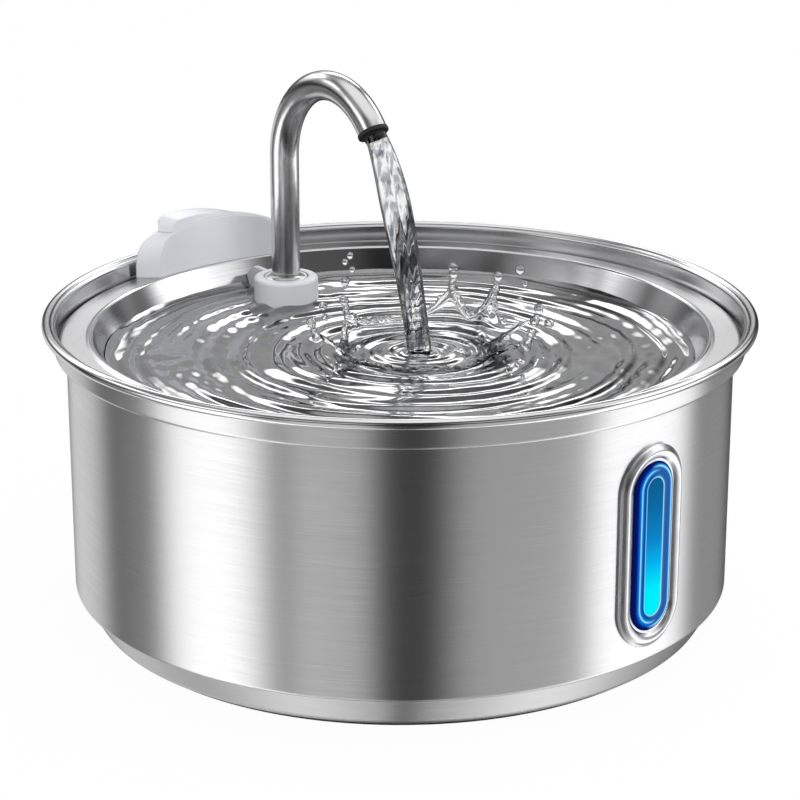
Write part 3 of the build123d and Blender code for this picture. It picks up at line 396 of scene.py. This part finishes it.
# The lens: moulded ribs run round it. It is no lamp, but its glow is painted in its emission: bright and
# dark rings, navy at the rim, round a flat middle that glows from teal down to cyan. Its thin pale rings are
# painted highlights, and its right side is painted purpler than its left.
lens_blue, tree, surface = new_finish("lit_acrylic_lens", Roughness=0.10, Specular_IOR_Level=0.0)
where = add_node(tree, "ShaderNodeTexCoord").outputs["Object"]
faced = add_node(tree, "ShaderNodeVectorRotate", {"Vector": where, "Angle": -window_bearing},
                 rotation_type="Z_AXIS")
xyz = add_node(tree, "ShaderNodeSeparateXYZ", {0: faced.outputs[0]}).outputs
above = add_node(tree, "ShaderNodeMath", {0: xyz[2], 1: window_middle}, operation="SUBTRACT").outputs[0]
up_down = add_node(tree, "ShaderNodeMath", {0: above}, operation="ABSOLUTE").outputs[0]
past = add_node(tree, "ShaderNodeMath", {0: up_down, 1: bezel_straight}, operation="SUBTRACT").outputs[0]
past = add_node(tree, "ShaderNodeMath", {0: past, 1: 0.0}, operation="MAXIMUM").outputs[0]
across = add_node(tree, "ShaderNodeCombineXYZ", {0: xyz[0], 1: past}).outputs[0]
out = add_node(tree, "ShaderNodeVectorMath", {0: across}, operation="LENGTH").outputs["Value"]
share = add_node(tree, "ShaderNodeMath", {0: out, 1: lens_half_width}, operation="DIVIDE").outputs[0]
glow_reach = 0.0213
height = add_node(tree, "ShaderNodeMapRange", {0: above, 1: -glow_reach, 2: glow_reach}).outputs[0]
glow_stops = [(0.0, "#00F4FF"), (0.2, "#00EEFF"), (0.38, "#04B4F2"), (0.55, "#0D86CC"), (0.8, "#0D69A4"),
              (1.0, "#0D5E90")]
# Painted light: the pale stops are painted highlights, and the right-hand set is painted purpler than the
# left.
left_painted_ring_stops = [(0.40, "#0B5F96"), (0.43, "#9FE4FF"), (0.46, "#0E4F9E"), (0.56, "#0A56B4"), (0.63, "#0FA0EC"),
              (0.68, "#B4EEFF"), (0.71, "#0C8ADF"), (0.80, "#0C4FBE"), (0.87, "#06186E"), (1.0, "#050F45")]
right_painted_ring_stops = [(0.40, "#0B5F96"), (0.43, "#BDF0FF"), (0.48, "#2E86C8"), (0.56, "#35599E"), (0.68, "#2C5CA6"),
               (0.77, "#0C74C4"), (0.83, "#B9F0FF"), (0.87, "#0F98E6"), (0.92, "#08257E"), (1.0, "#050F45")]
glow = add_node(tree, "ShaderNodeValToRGB", {0: height}, glow_stops).outputs[0]
left_painted_rings = add_node(tree, "ShaderNodeValToRGB", {0: share}, left_painted_ring_stops).outputs[0]
right_painted_rings = add_node(tree, "ShaderNodeValToRGB", {0: share}, right_painted_ring_stops).outputs[0]
side = add_node(tree, "ShaderNodeMapRange", {0: xyz[0], 1: -0.002, 2: 0.002}).outputs[0]
rings = add_node(tree, "ShaderNodeMix", {0: side, 6: left_painted_rings, 7: right_painted_rings},
                 data_type="RGBA").outputs[2]
in_middle = add_node(tree, "ShaderNodeMapRange", {0: share, 1: 0.40, 2: 0.415}).outputs[0]
shown = add_node(tree, "ShaderNodeMix", {0: in_middle, 6: glow, 7: rings}, data_type="RGBA").outputs[2]
# All of the lens's glow is painted in its emission.
tree.links.new(shown, surface.inputs["Emission Color"])
surface.inputs["Emission Strength"].default_value = 0.95
# It reflects next to nothing itself, so the glow keeps its pure colour.
dark_share = 0.98
dimmed = add_node(tree, "ShaderNodeMix", {0: dark_share, 6: shown, 7: linear("#000000")},
                  data_type="RGBA").outputs[2]
tree.links.new(dimmed, surface.inputs["Base Color"])
finish_with(lens_blue, "window_lens")

# The panel behind the lens: frosted plastic, lit from below, so its soft glow fades upwards.
lit_panel, tree, surface = new_finish("lit_diffuser_panel", Roughness=0.5, Emission_Strength=0.8)
where = add_node(tree, "ShaderNodeTexCoord").outputs["Object"]
above = add_node(tree, "ShaderNodeSeparateXYZ", {0: where}).outputs[2]
height = add_node(tree, "ShaderNodeMapRange",
                  {0: above, 1: window_middle - glow_reach, 2: window_middle + glow_reach}).outputs[0]
panel_stops = [(0.0, "#00F4FF"), (0.4, "#04B4F2"), (1.0, "#0D5E90")]
glow = add_node(tree, "ShaderNodeValToRGB", {0: height}, panel_stops).outputs[0]
tree.links.new(glow, surface.inputs["Emission Color"])
finish_with(lit_panel, "window_diffuser")

# Clear silicone lets some light through and looks milky; the cradle's grey ABS is plain and satin.
silicone = moulded("clear_silicone", "#DDE2E4", "#CDD4D7", 0.8, 0.35, 0.01, Transmission_Weight=0.4)
cradle_grey = moulded("moulded_grey_abs", "#B9BCC1", "#AEB1B7", 0.5, 0.42, 0.012)
finish_with(silicone, "window_gasket", "collar_seal", "outlet_sleeve")
finish_with(cradle_grey, "window_retainer", "collar_nut", "pump_box", "filter_basket", "flow_slider")

# ---------------------------------------------------------------- tray
# The drinking tray: a second drawing of the same sheet. It hangs by its skirt on the
# bowl's step, with a raised lip round a basin that is polished inside.
mouth_radius = 0.0952
ledge_height = 0.0917
basin_floor = 0.066
floor_radius = 0.081
well_radius = 0.0364
tray_radius = 0.105
lip_height = 0.0013
lip_width = 0.0017
tray_face = [(well_radius, basin_floor), (floor_radius, basin_floor),
             (mouth_radius, ledge_height + lip_height), (mouth_radius + lip_width, ledge_height),
             (tray_radius, ledge_height), (tray_radius, step_height + steel)]
tray_section = bent_sheet(tray_face, (0.005, 0.00095, 0.0004, 0.0012), -steel)
tray = spun("tray_drawing", tray_section, shut=True)
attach(tray, "tray")
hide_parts("tray")
# Satin steel: the flat ledge is an even, light grey.
satin_ledge = turned_steel("satin_stainless_ledge", "#C9C9CA", "#C2C2C3", 0.25, 0.30, 0.0008, 0.3)
# Polished steel: the basin's wall mirrors dark and light with clean borders.
polished_basin = turned_steel("polished_stainless_basin", "#C8C8CA", "#BCBCBE", 0.6, 0.15, 0.0008)
tray.data.materials.append(satin_ledge)
tray.data.materials.append(polished_basin)
for face in tray.data.polygons:
    face.material_index = 1 if face.center.xy.length < mouth_radius + steel else 0

# ---------------------------------------------------------------- collar and gooseneck
# White ABS collar, screwed through the basin floor from below. A steel ferrule turns
# in it and grips the spout, a satin 304 tube of 9.4 mm with a black ring at its end.

# Moulded ABS: cool white and slightly glossy, with a soft light along its edges.
white_abs = moulded("moulded_white_abs", "#E1E2E7", "#DBDCE2", 0.5, 0.36, 0.006, 0.7,
                    Coat_Weight=0.15, Coat_Roughness=0.2)
finish_with(white_abs, "faucet_collar", "rear_housing", "housing_cap", "drain_cover", "drain_knob",
            "cartridge_shell")
# Satin steel: the ferrule is duller than the tube, which shows long bands of light and dark.
finish_with(polished("satin_stainless_ferrule", "#C4C4C6", "#B6B6B8", 0.30), "swivel_ferrule")
spout_steel = polished("satin_stainless_tube", "#D6D6D7", "#CACACB", 0.21)
finish_with(spout_steel, "faucet_tube")
finish_with(black_rubber, "nozzle_ring", "riser_seal", "lead_grommet", "front_bush", "rear_bush")

# ---------------------------------------------------------------- pump
# A submersible pump of black ABS, potted round a laminated core and a copper coil.
# A grey flow slider and an open foam block cover its intake. A rubber lead runs up
# to the inlet; a small blue lamp shines on the level window.

# Black plastics differ in gloss only: satin ABS, duller PVC on the lead and a wet-looking resin.
black_abs = moulded("moulded_black_abs", "#202124", "#2A2B2E", 0.5, 0.45, 0.010)
finish_with(black_abs, "pump_casing", "pump_rear_cover", "pump_cover", "inlet_socket")
finish_with(moulded("black_pvc_lead_jacket", "#17181A", "#1F2022", 1.2, 0.5, 0.02), "pump_lead")
finish_with(moulded("black_potting_resin", "#0E0F12", "#15171B", 2.5, 0.12, 0.01), "motor_potting")
# The lamp's lens is a clear blue that glows faintly.
finish_with(moulded("blue_lamp_lens", "#2E86D8", "#3F95E2", 2.0, 0.1, 0.002,
                    Emission_Color=linear("#3FA9FF"), Emission_Strength=0.6), "pump_lamp")
# Acetal is a waxy white, ferrite a dull charcoal and the ceramic shaft a smooth cream.
finish_with(moulded("impeller_acetal", "#D9DADC", "#CBCDD0", 0.8, 0.38, 0.006), "impeller")
finish_with(moulded("sintered_ferrite", "#2B2A2D", "#3A383B", 0.3, 0.5, 0.03), "rotor_magnet")
finish_with(moulded("alumina_ceramic_shaft", "#F1EEE6", "#E6E2D8", 0.2, 0.25, 0.003), "pump_shaft")


def layered(name, colour, other, pitch_mm, axis, rough, depth):
    """Steel sheets in a stack or turns of wire: fine lines across one axis, each dark at its joint."""
    waves_per_metre = math.pi / 10 * 1000 / pitch_mm  # a wave texture of scale 1 repeats each pi / 10
    material, tree, surface = new_finish(name, Metallic=1.0, Roughness=rough)
    where = add_node(tree, "ShaderNodeTexCoord").outputs["Object"]
    lines = add_node(tree, "ShaderNodeTexWave",
                     {"Vector": where, "Scale": waves_per_metre, "Distortion": 0.4},
                     bands_direction=axis).outputs[1]
    mix = add_node(tree, "ShaderNodeMix", {0: lines, 6: linear(other), 7: linear(colour)},
                   data_type="RGBA").outputs[2]
    tree.links.new(mix, surface.inputs["Base Color"])
    bump = add_node(tree, "ShaderNodeBump", {"Height": lines, "Strength": 1.0, "Distance": depth / 1000})
    tree.links.new(bump.outputs[0], surface.inputs["Normal"])
    return material


# The core is grey with the fine lines of its sheets; the coil is bright copper, wound in even turns.
finish_with(layered("laminated_core_steel", "#8D9095", "#55585D", 0.5, "Y", 0.45, 0.05), "stator_core")
finish_with(layered("enamelled_copper_wire", "#C8743C", "#7A3B1B", 0.4, "Z", 0.3, 0.08), "stator_coil")

# ---------------------------------------------------------------- rear housing and filter
# The white housing covers the lead's way out over the rim; its cap is screwed on and
# the power inlet sits in its back. The filter drops into the tray's well: a drain
# cover on a cartridge that holds coconut carbon over a polyester pad.

# The contacts are a pale gold, the screws a bluish silver.
finish_with(polished("nickelled_brass_contacts", "#D9C48A", "#C9B173", 0.25), "inlet_contacts")
finish_with(polished("zinc_plated_screws", "#C3C7CC", "#AEB3B9", 0.3), "housing_screws")


def fibrous(name, colour, other, cell_mm, depth, rough):
    """Foam cells, granules or felt: cells of one size, with painted shade darkening the gaps between them.
    """
    material, tree, surface = new_finish(name, Roughness=rough)
    where = add_node(tree, "ShaderNodeTexCoord").outputs["Object"]
    cells = add_node(tree, "ShaderNodeTexVoronoi", {"Vector": where, "Scale": 1000 / cell_mm}).outputs[0]
    # Darker towards each cell's border: painted shade in the gaps.
    mix = add_node(tree, "ShaderNodeMix", {0: cells, 6: linear(colour), 7: linear(other)},
                   data_type="RGBA").outputs[2]
    tree.links.new(mix, surface.inputs["Base Color"])
    bump = add_node(tree, "ShaderNodeBump", {"Height": cells, "Strength": 1.0, "Distance": -depth / 1000})
    tree.links.new(bump.outputs[0], surface.inputs["Normal"])
    return material


# Foam is dark and full of holes, carbon black and grainy, felt white and soft.
# The second colour of each is the painted shade in its gaps.
finish_with(fibrous("open_cell_foam", "#3C3D40", "#131315", 0.9, 0.4, 0.9), "pump_sponge")
finish_with(fibrous("coconut_carbon_granules", "#2A2A2B", "#050505", 1.8, 0.8, 0.6), "carbon_bed")
finish_with(fibrous("polyester_felt", "#F0F0EC", "#C6C6C0", 0.5, 0.2, 0.95), "fibre_pad")

# ---------------------------------------------------------------- water in the tray
# Clear water up to 7 mm below the ledge. Rings run out from where the jet lands, are
# thrown back by the wall and creep up the steel and the collar in a meniscus.
water_level = 0.0847
impact = Vector((0.0034, -0.0055))
collar_middle = Vector((0, 0.0677))
collar_radius = 0.0106
crown_foot = 0.022
basin_slope = 0.5259  # how far the wall leans out for each metre up
into_wall = 0.0003  # how far the water reaches into the steel, so that no gap shows
water_radius = floor_radius + (water_level - basin_floor) * basin_slope + into_wall
# Rings have a height and a length, waver by some radians of their phase and die out over a fade.
ring_height, ring_length, ring_waver, ring_fade = 0.00040, 0.0088, 1.6, 0.120
fine_height, fine_length, fine_waver = 0.00009, 0.0049, 2.4
echo_height, echo_length, echo_waver, echo_fade = 0.00026, 0.0070, 2.6, 0.090
collar_ring_height, collar_ring_length, collar_ring_fade = 0.00012, 0.0065, 0.020
churn_height, churn_length, churn_waver, churn_reach, churn_width = 0.00030, 0.0042, 3, 0.010, 0.012
wall_creep, wall_creep_width = 0.0009, 0.0012
collar_creep, collar_creep_width = 0.0004, 0.0008
waver_cells = 28  # per metre, as are the patch cells
patch_height, patch_cells = 0.00014, 150


def swell(place):
    """Height of the ripples at a point of the pool, above its level."""
    out = (place - impact).length
    waver = noise.noise(Vector((place.x * waver_cells, place.y * waver_cells, 4.0)))
    patches = noise.noise(Vector((place.x * patch_cells, place.y * patch_cells, 9.0)))
    phase = math.tau * out / ring_length + ring_waver * waver
    rings = ring_height * math.sin(phase) * math.exp(-max(out - crown_foot, 0) / ring_fade)
    rings += fine_height * math.sin(math.tau * out / fine_length + fine_waver * waver)
    back = place.length - water_radius
    phase = math.tau * back / echo_length + echo_waver * waver
    echo = echo_height * math.sin(phase) * math.exp(back / echo_fade)
    round_collar = (place - collar_middle).length - collar_radius
    fade = math.exp(-max(round_collar, 0) / collar_ring_fade)
    echo += collar_ring_height * math.sin(math.tau * round_collar / collar_ring_length) * fade
    churn = churn_height * math.sin(math.tau * out / churn_length + churn_waver * waver)
    churn *= math.exp(-((out - churn_reach) / churn_width) ** 2)
    creep = wall_creep * math.exp(back / wall_creep_width)
    creep += collar_creep * math.exp(-abs(round_collar) / collar_creep_width)
    return rings + echo + churn + creep + patch_height * patches


surface_steps = 140
water_floor = basin_floor - into_wall
inside_well = 0.001
surface_line = [Vector((water_radius * step / surface_steps, water_level))
                for step in range(surface_steps + 1)]
under_line = [Vector((radius, water_floor)) for radius in (floor_radius, well_radius - inside_well, 0)]
pool = spun("pool", surface_line + under_line, steps=480)
for point in pool.data.vertices:
    if point.co.z > (water_level + water_floor) / 2:
        point.co.z += swell(point.co.xy)
pool.data.set_sharp_from_angle(angle=math.radians(60))
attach(pool, "tray")


def water(name, tint, painted_dark, edge, mirror, cell_mm, along, wrinkle, **values):
    """Clear water. Its colour drifts from tint to a darker colour, painted shade, in cells of cell_mm, drawn
    out upright where along is less than 1; a grey tint is painted shade as well. Its edges, seen on the
    slant, turn to the edge colour, a painted dark outline. mirror is its skin's index of reflection, and
    wrinkle the height of its finest ripples in mm."""
    material, tree, surface = new_finish(name, Roughness=0.0, IOR=1.333, Transmission_Weight=1.0,
                                         Coat_Weight=1.0, Coat_Roughness=0.0, Coat_IOR=mirror, **values)
    where = add_node(tree, "ShaderNodeTexCoord").outputs["Object"]
    drawn = add_node(tree, "ShaderNodeVectorMath", {0: where, 1: (1, 1, along)},
                     operation="MULTIPLY").outputs[0]
    wrinkles = add_node(tree, "ShaderNodeTexNoise",
                        {"Vector": drawn, "Scale": 1000 / cell_mm, "Detail": 2.0}).outputs[0]
    # The second colour is painted shade: patches, drawn into upright streaks when along is small.
    painted_dark_share = add_node(tree, "ShaderNodeMapRange", {0: wrinkles, 1: 0.48, 2: 0.60}).outputs[0]
    body = add_node(tree, "ShaderNodeMix", {0: painted_dark_share, 6: linear(tint), 7: linear(painted_dark)},
                    data_type="RGBA").outputs[2]
    # Slanting edges turn to the edge colour: a painted dark outline.
    slant = add_node(tree, "ShaderNodeLayerWeight", {"Blend": 0.5}).outputs["Facing"]
    painted_outline_share = add_node(tree, "ShaderNodeMapRange", {0: slant, 1: 0.30, 2: 0.66},
                       interpolation_type="SMOOTHSTEP").outputs[0]
    mix = add_node(tree, "ShaderNodeMix", {0: painted_outline_share, 6: body, 7: linear(edge)},
                   data_type="RGBA").outputs[2]
    tree.links.new(mix, surface.inputs["Base Color"])
    bump = add_node(tree, "ShaderNodeBump",
                    {"Height": wrinkles, "Strength": 1.0, "Distance": wrinkle / 1000})
    tree.links.new(bump.outputs[0], surface.inputs["Normal"])
    return material


# The pool's grey is partly the steel seen through it and partly painted shade in its tint, with darker
# painted patches and painted dark outlines; its rings mirror the studio in bright lines.
pool_water = water("painted_grey_pool_water", "#63656A", "#3A3C40", "#55575B", 2.9, 3.8, 1.0, 0.05)
# The splash is clear, with painted dark outlines that stand in for the light bent away at its edges.
clear_water = water("clear_water", "#FFFFFF", "#E4E6EA", "#050607", 1.05, 3.8, 1.0, 0.012,
                    Specular_IOR_Level=0.15)
# The jet is clear as well, with painted shade in grey streaks along it and painted dark outlines.
falling_water = water("falling_water", "#FFFFFF", "#7E838A", "#0B0C0E", 1.2, 1.7, 0.07, 0.02,
                      Specular_IOR_Level=0.25)
pool.data.materials.append(pool_water)

# ---------------------------------------------------------------- jet
# The jet leaves the nozzle as a round rod, falls in a parabola and breaks the light
# into lengthwise folds that twist round it.
spout_turn = math.radians(3)
spout_way = Vector((math.sin(spout_turn), -math.cos(spout_turn), 0))
spout_foot = collar_middle.to_3d()
nozzle_reach = 0.0504
nozzle_height = 0.1474
landing_reach = 0.0729
jet_slope = 1.298  # how steeply it leaves the nozzle
jet_droop = 66.2  # gravity over twice the square of its level speed
into_nozzle = 0.001
into_pool = 0.0004
rod_radius = 0.0031
bulge, bulge_at, bulge_length = 0.0015, 0.45, 0.35
flare = 0.0006
coarse_fold, fine_fold = 0.075, 0.045


def jet_point(share):
    """Middle of the jet, from the nozzle (0) to just under the pool (1)."""
    gone = share * (landing_reach - nozzle_reach + into_pool)
    fall = jet_slope * gone + jet_droop * gone ** 2
    height = nozzle_height + into_nozzle - fall
    return spout_foot + spout_way * (nozzle_reach + gone) + Vector((0, 0, height))


def jet_radius(share, turn):
    """Half width of the jet: it swells towards its middle, narrows again and is folded lengthwise."""
    body = rod_radius + bulge * math.exp(-((share - bulge_at) / bulge_length) ** 2) + flare * share
    folds = coarse_fold * math.sin(4 * turn + 1.5 * share) + fine_fold * math.sin(9 * turn - 2 * share + 1)
    return body * (1 + min(1, 6 * share) * folds)


rod = bmesh.new()
bmesh.ops.create_grid(rod, x_segments=56, y_segments=110, size=1.0)
for point in rod.verts:
    share = ((point.co.y + 1) / 2) ** 1.3
    turn = math.pi * point.co.x
    middle = jet_point(share)
    down = (jet_point(share + 0.01) - middle).normalized()
    side = down.cross(spout_way).normalized()
    front = side.cross(down)
    point.co = middle + jet_radius(share, turn) * (math.cos(turn) * side + math.sin(turn) * front)
bmesh.ops.remove_doubles(rod, verts=rod.verts, dist=1e-6)
bmesh.ops.holes_fill(rod, edges=[edge for edge in rod.edges if edge.is_boundary])
bmesh.ops.recalc_face_normals(rod, faces=rod.faces)
jet = finished("jet", rod, sharp=60)
jet.data.materials.append(falling_water)
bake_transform(jet)

# ---------------------------------------------------------------- splash crown
# Where the jet lands it throws up a cup of thin water. Its rim is pulled into fingers
# that pinch off beads; each bead is round, and those in flight are loose drops.

# Each finger has a bearing, a height in mm, a width in degrees and a reach in mm.
fingers = [(-56, 8.5, 9, 27), (24, 14.8, 12, 26), (58, 16.5, 9, 28), (76.5, 8.0, 6, 37), (110.7, 6.5, 8, 35),
           (248, 10.0, 8, 34)]
view_turn = 33.8  # degrees from +Y to the way the camera looks; bearings of the splash start there
camera_turn = math.radians(view_turn)
land = Vector((impact.x, impact.y, water_level))
# Sizes of the cup between its fingers, in mm.
rim_height, far_rise, rim_wave = 2.0, 3.0, 0.5
rim_reach, reach_wave = 24.5, 0.8
foot_reach, foot_wave, foot_depth = 21.5, 1.2, 1.0
half_wall, foot_swelling, rim_swelling = 0.50, 0.5, 0.35


def splash_place(bearing, reach, height):
    """A point of the splash: bearing in degrees clockwise from the far side, reach and height in mm."""
    turn = camera_turn + math.radians(bearing)
    return land + Vector((math.sin(turn) * reach, math.cos(turn) * reach, height)) / 1000


def rim_of_crown(bearing):
    """Height and reach of the crown's rim at a bearing, in mm."""
    height = rim_height + far_rise * max(0, math.cos(math.radians(bearing - 10)))
    height += rim_wave * math.sin(math.radians(7 * bearing))
    reach = rim_reach + reach_wave * math.sin(math.radians(5 * bearing))
    for place, tall, spread, far in fingers:
        apart = (bearing - place + 180) % 360 - 180
        pull = math.exp(-abs(apart / spread) ** 1.4)
        height += (tall - height) * pull
        reach += (far - reach) * pull
    return height, reach


cup = bmesh.new()
bmesh.ops.create_grid(cup, x_segments=420, y_segments=24, size=1.0)
for point in cup.verts:
    bearing = 180 * point.co.x
    run = (point.co.y + 1) / 2
    outside = run < 0.5
    climb = 2 * run if outside else 2 - 2 * run
    height, reach = rim_of_crown(bearing)
    wall = half_wall + foot_swelling * (1 - climb) ** 3 + (rim_swelling if 0.8 < climb < 1 else 0)
    foot = foot_reach + foot_wave * math.sin(math.radians(3 * bearing))
    lean = foot + (reach - foot) * climb ** 1.4
    up = height * climb - foot_depth * (1 - climb)
    point.co = splash_place(bearing, lean + (wall if outside else -wall), up)
bmesh.ops.remove_doubles(cup, verts=cup.verts, dist=2e-6)
bmesh.ops.holes_fill(cup, edges=[edge for edge in cup.edges if edge.is_boundary])


def bead_of_water(shape, bearing, reach, height, radius, stretch=1.0):
    """A round or slightly tall bead of the splash, sizes in mm."""
    sizes = Matrix.Diagonal((radius / 1000, radius / 1000, radius * stretch / 1000, 1))
    bmesh.ops.create_icosphere(shape, subdivisions=3, radius=1.0,
                               matrix=Matrix.Translation(splash_place(bearing, reach, height)) @ sizes)


# A finger is a leaning column of five ever smaller beads with a larger one on top, all in mm.
random.seed(4)
for place, tall, _, far in fingers:
    for step in range(5):
        bead_of_water(cup, place + random.uniform(-1, 1), far + 0.25 * step, tall + 0.9 * step - 1.5,
                      1.4 - 0.12 * step + random.uniform(-0.15, 0.15))
    bead_of_water(cup, place, far + 1.4, tall + 3.4, 1.6)
for step in range(150):
    bearing = random.uniform(-180, 180)
    height, reach = rim_of_crown(bearing)
    bead_of_water(cup, bearing, reach, height, random.uniform(0.55, 1.0))
crown = finished("splash_crown", cup, sharp=180)
skin = crown.modifiers.new("surface_tension", "REMESH")
skin.mode = "VOXEL"
skin.voxel_size = 0.00036
skin.use_smooth_shade = True
ease = crown.modifiers.new("smoothing", "SMOOTH")
ease.factor = 0.5
ease.iterations = 4
baked(crown)
crown.data.materials.clear()
crown.data.materials.append(clear_water)
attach(crown, "swivel")

# Each drop has a bearing in degrees, and a reach, a height and a radius in mm.
flying = [(-50.3, 28, 25.9, 1.1), (-55.5, 28, 24.4, 1.0), (-48.4, 28, 21.2, 1.0), (-55.6, 28, 18.2, 1.5),
          (23.8, 27, 20.3, 1.7), (67.9, 34, 22.8, 1.5), (70.9, 35, 18.6, 1.0), (72.7, 33, 14.1, 0.8),
          (-69.3, 32, 11.5, 1.4), (-66.7, 32, 7.2, 1.2), (75.8, 42, 6.0, 1.6), (79.0, 38, 11.0, 1.4)]
loose = bmesh.new()
for bearing, reach, height, radius in flying:
    bead_of_water(loose, bearing, reach, height, radius, stretch=1.08)
drops = finished("loose_drops", loose, sharp=180)
drops.data.materials.append(clear_water)
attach(drops, "swivel")

# ---------------------------------------------------------------- stage
# A seamless sheet of white paper under the object. Mirrors see through it to the studio,
# so the steel keeps the dark reflections that it has on the edge of a table.
soft_white, tree, surface = new_finish("backdrop_paper", Roughness=1.0, Base_Color=linear("#F4F4F4"))
paper = bmesh.new()
bmesh.ops.create_circle(paper, cap_ends=True, segments=96, radius=3.0)
floor = finished("floor", paper)
floor.data.materials.append(soft_white)
see = add_node(tree, "ShaderNodeLightPath").outputs
white = add_node(tree, "ShaderNodeEmission", {"Strength": 1.0})
none = add_node(tree, "ShaderNodeBsdfTransparent")
burnt_out = 0.96  # how much of the paper is plain white to the camera
camera_part = add_node(tree, "ShaderNodeMixShader",
                       {0: burnt_out, 1: surface.outputs[0], 2: white.outputs[0]})
looked_at = add_node(tree, "ShaderNodeMath", {0: see["Is Camera Ray"], 1: see["Is Transmission Ray"]},
                     operation="MAXIMUM")
shown = add_node(tree, "ShaderNodeMixShader",
                 {0: looked_at.outputs[0], 1: surface.outputs[0], 2: camera_part.outputs[0]})
through = add_node(tree, "ShaderNodeMixShader",
                   {0: see["Is Glossy Ray"], 1: shown.outputs[0], 2: none.outputs[0]})
tree.links.new(through.outputs[0], tree.nodes["Material Output"].inputs[0])

# The studio: upright strip softboxes that reach below the table's edge, with black
# flags between them, a soft ceiling and a lit wall behind the object. Bearings are
# in degrees, clockwise from the camera.
world = bpy.data.worlds.new("studio")
bpy.context.scene.world = world
world.use_nodes = True
tree = world.node_tree
camera_bearing = 180 + view_turn
look = add_node(tree, "ShaderNodeTexCoord").outputs["Generated"]
xyz = add_node(tree, "ShaderNodeSeparateXYZ", {0: look}).outputs
flat = add_node(tree, "ShaderNodeCombineXYZ", {0: xyz[0], 1: xyz[1]}).outputs[0]
level = add_node(tree, "ShaderNodeVectorMath", {0: flat}, operation="NORMALIZE").outputs[0]


def softbox(bearing, full, edge, strength):
    """Light from a bearing, at full strength within full degrees of it and gone at edge degrees."""
    turn = math.radians(camera_bearing + bearing)
    faces = add_node(tree, "ShaderNodeVectorMath", {0: level, 1: (math.sin(turn), math.cos(turn), 0)},
                     operation="DOT_PRODUCT").outputs["Value"]
    limits = {1: math.cos(math.radians(edge)), 2: math.cos(math.radians(full)), 3: 0.0, 4: strength}
    return add_node(tree, "ShaderNodeMapRange", {0: faces, **limits},
                    interpolation_type="SMOOTHSTEP").outputs[0]


# What each light is worth at a height of the look, as the sine of its elevation: it turns from the third
# number to the fourth between the first and the second.
by_height = {
    "strips below": (-0.12, -0.02, 1.0, 0.10),
    "strips in": (0.18, 0.30, 0.0, 0.95),
    "strips out": (0.42, 0.56, 1.0, 0.1),
    "walls low": (0.10, 0.26, 0.0, 0.30),
    "walls high": (0.37, 0.49, 0.0, 2.6),
    "walls out": (0.51, 0.64, 1.0, 0.05),
    "key": (0.40, 0.55, 0.0, 1.0),
    "ceiling": (0.74, 0.90, 0.0, 1.2),
    "behind": (0.20, 0.42, 1.0, 0.05),
}
worth = {
    name: add_node(tree, "ShaderNodeMapRange", {0: xyz[2], 1: low, 2: high, 3: below, 4: above},
                   interpolation_type="SMOOTHSTEP").outputs[0]
    for name, (low, high, below, above) in by_height.items()
}
# Bearing, full and edge in degrees, and strength.
strips = [(68, 5, 26, 2.0), (22, 4, 18, 0.72), (40, 2, 14, 0.32), (97, 4, 18, 0.25), (140, 5, 26, 0.85),
          (-92, 14, 29, 1.9), (-45, 16, 36, 0.56), (-136, 5, 22, 0.32)]
walls = [(180, 10, 24, 1.7), (140, 4, 15, 1.7), (-140, 4, 15, 1.7), (104, 4, 14, 1.1), (-104, 4, 14, 1.1)]
low_light = 0.05
for strip in strips:
    low_light = add_node(tree, "ShaderNodeMath", {0: low_light, 1: softbox(*strip)},
                         operation="ADD").outputs[0]
low_worth = add_node(tree, "ShaderNodeMath",
                     {0: worth["strips in"], 1: worth["strips out"], 2: worth["strips below"]},
                     operation="MULTIPLY_ADD").outputs[0]
far_light = 0.0
for wall in walls:
    far_light = add_node(tree, "ShaderNodeMath", {0: far_light, 1: softbox(*wall)},
                         operation="ADD").outputs[0]
rising = add_node(tree, "ShaderNodeMath", {0: worth["walls low"], 1: worth["walls high"]}, operation="ADD")
far_worth = add_node(tree, "ShaderNodeMath", {0: rising.outputs[0], 1: worth["walls out"]},
                     operation="MULTIPLY").outputs[0]
key = softbox(-100, 20, 42, 0.65)
total = 0.0
for light, share in ((low_light, low_worth), (far_light, far_worth), (key, worth["key"])):
    total = add_node(tree, "ShaderNodeMath", {0: light, 1: share, 2: total},
                     operation="MULTIPLY_ADD").outputs[0]

# Water is looked through as well, and sees a paler backdrop behind the object.
seen = add_node(tree, "ShaderNodeLightPath").outputs
behind = add_node(tree, "ShaderNodeMath", {0: softbox(180, 16, 48, 0.95), 1: worth["behind"]},
                  operation="MULTIPLY").outputs[0]
through_water = add_node(tree, "ShaderNodeMath", {0: seen["Is Transmission Ray"], 1: behind},
                         operation="MULTIPLY").outputs[0]
for light in (worth["ceiling"], through_water, seen["Is Camera Ray"]):
    total = add_node(tree, "ShaderNodeMath", {0: total, 1: light}, operation="MAXIMUM").outputs[0]
tree.links.new(total, tree.nodes["Background"].inputs["Color"])

# A large soft light in front lifts the white plastic. Mirrors and water don't see it.
fill_light = bpy.data.lights.new("front_fill", "AREA")
fill_light.size = 1.5
fill_light.energy = 27.0
fill = bpy.data.objects.new("front_fill", fill_light)
fill.location = (-0.5, -1.6, 0.5)
fill.rotation_euler = Vector((0.5, 1.6, -0.42)).to_track_quat("-Z", "Y").to_euler()
fill.visible_glossy = False
fill.visible_transmission = False
bpy.context.scene.collection.objects.link(fill)

camera_tilt = math.radians(18.23)  # below level
camera_data = bpy.data.cameras.new("camera")
camera_data.lens = 116.34
camera_data.sensor_width = 36
camera = bpy.data.objects.new("camera", camera_data)
camera.location = (-0.4274, -0.6384, 0.3210)
camera.rotation_euler = (math.pi / 2 - camera_tilt, 0, -camera_turn)
bpy.context.scene.collection.objects.link(camera)
bpy.context.scene.camera = camera
bpy.context.scene.view_settings.view_transform = "Standard"
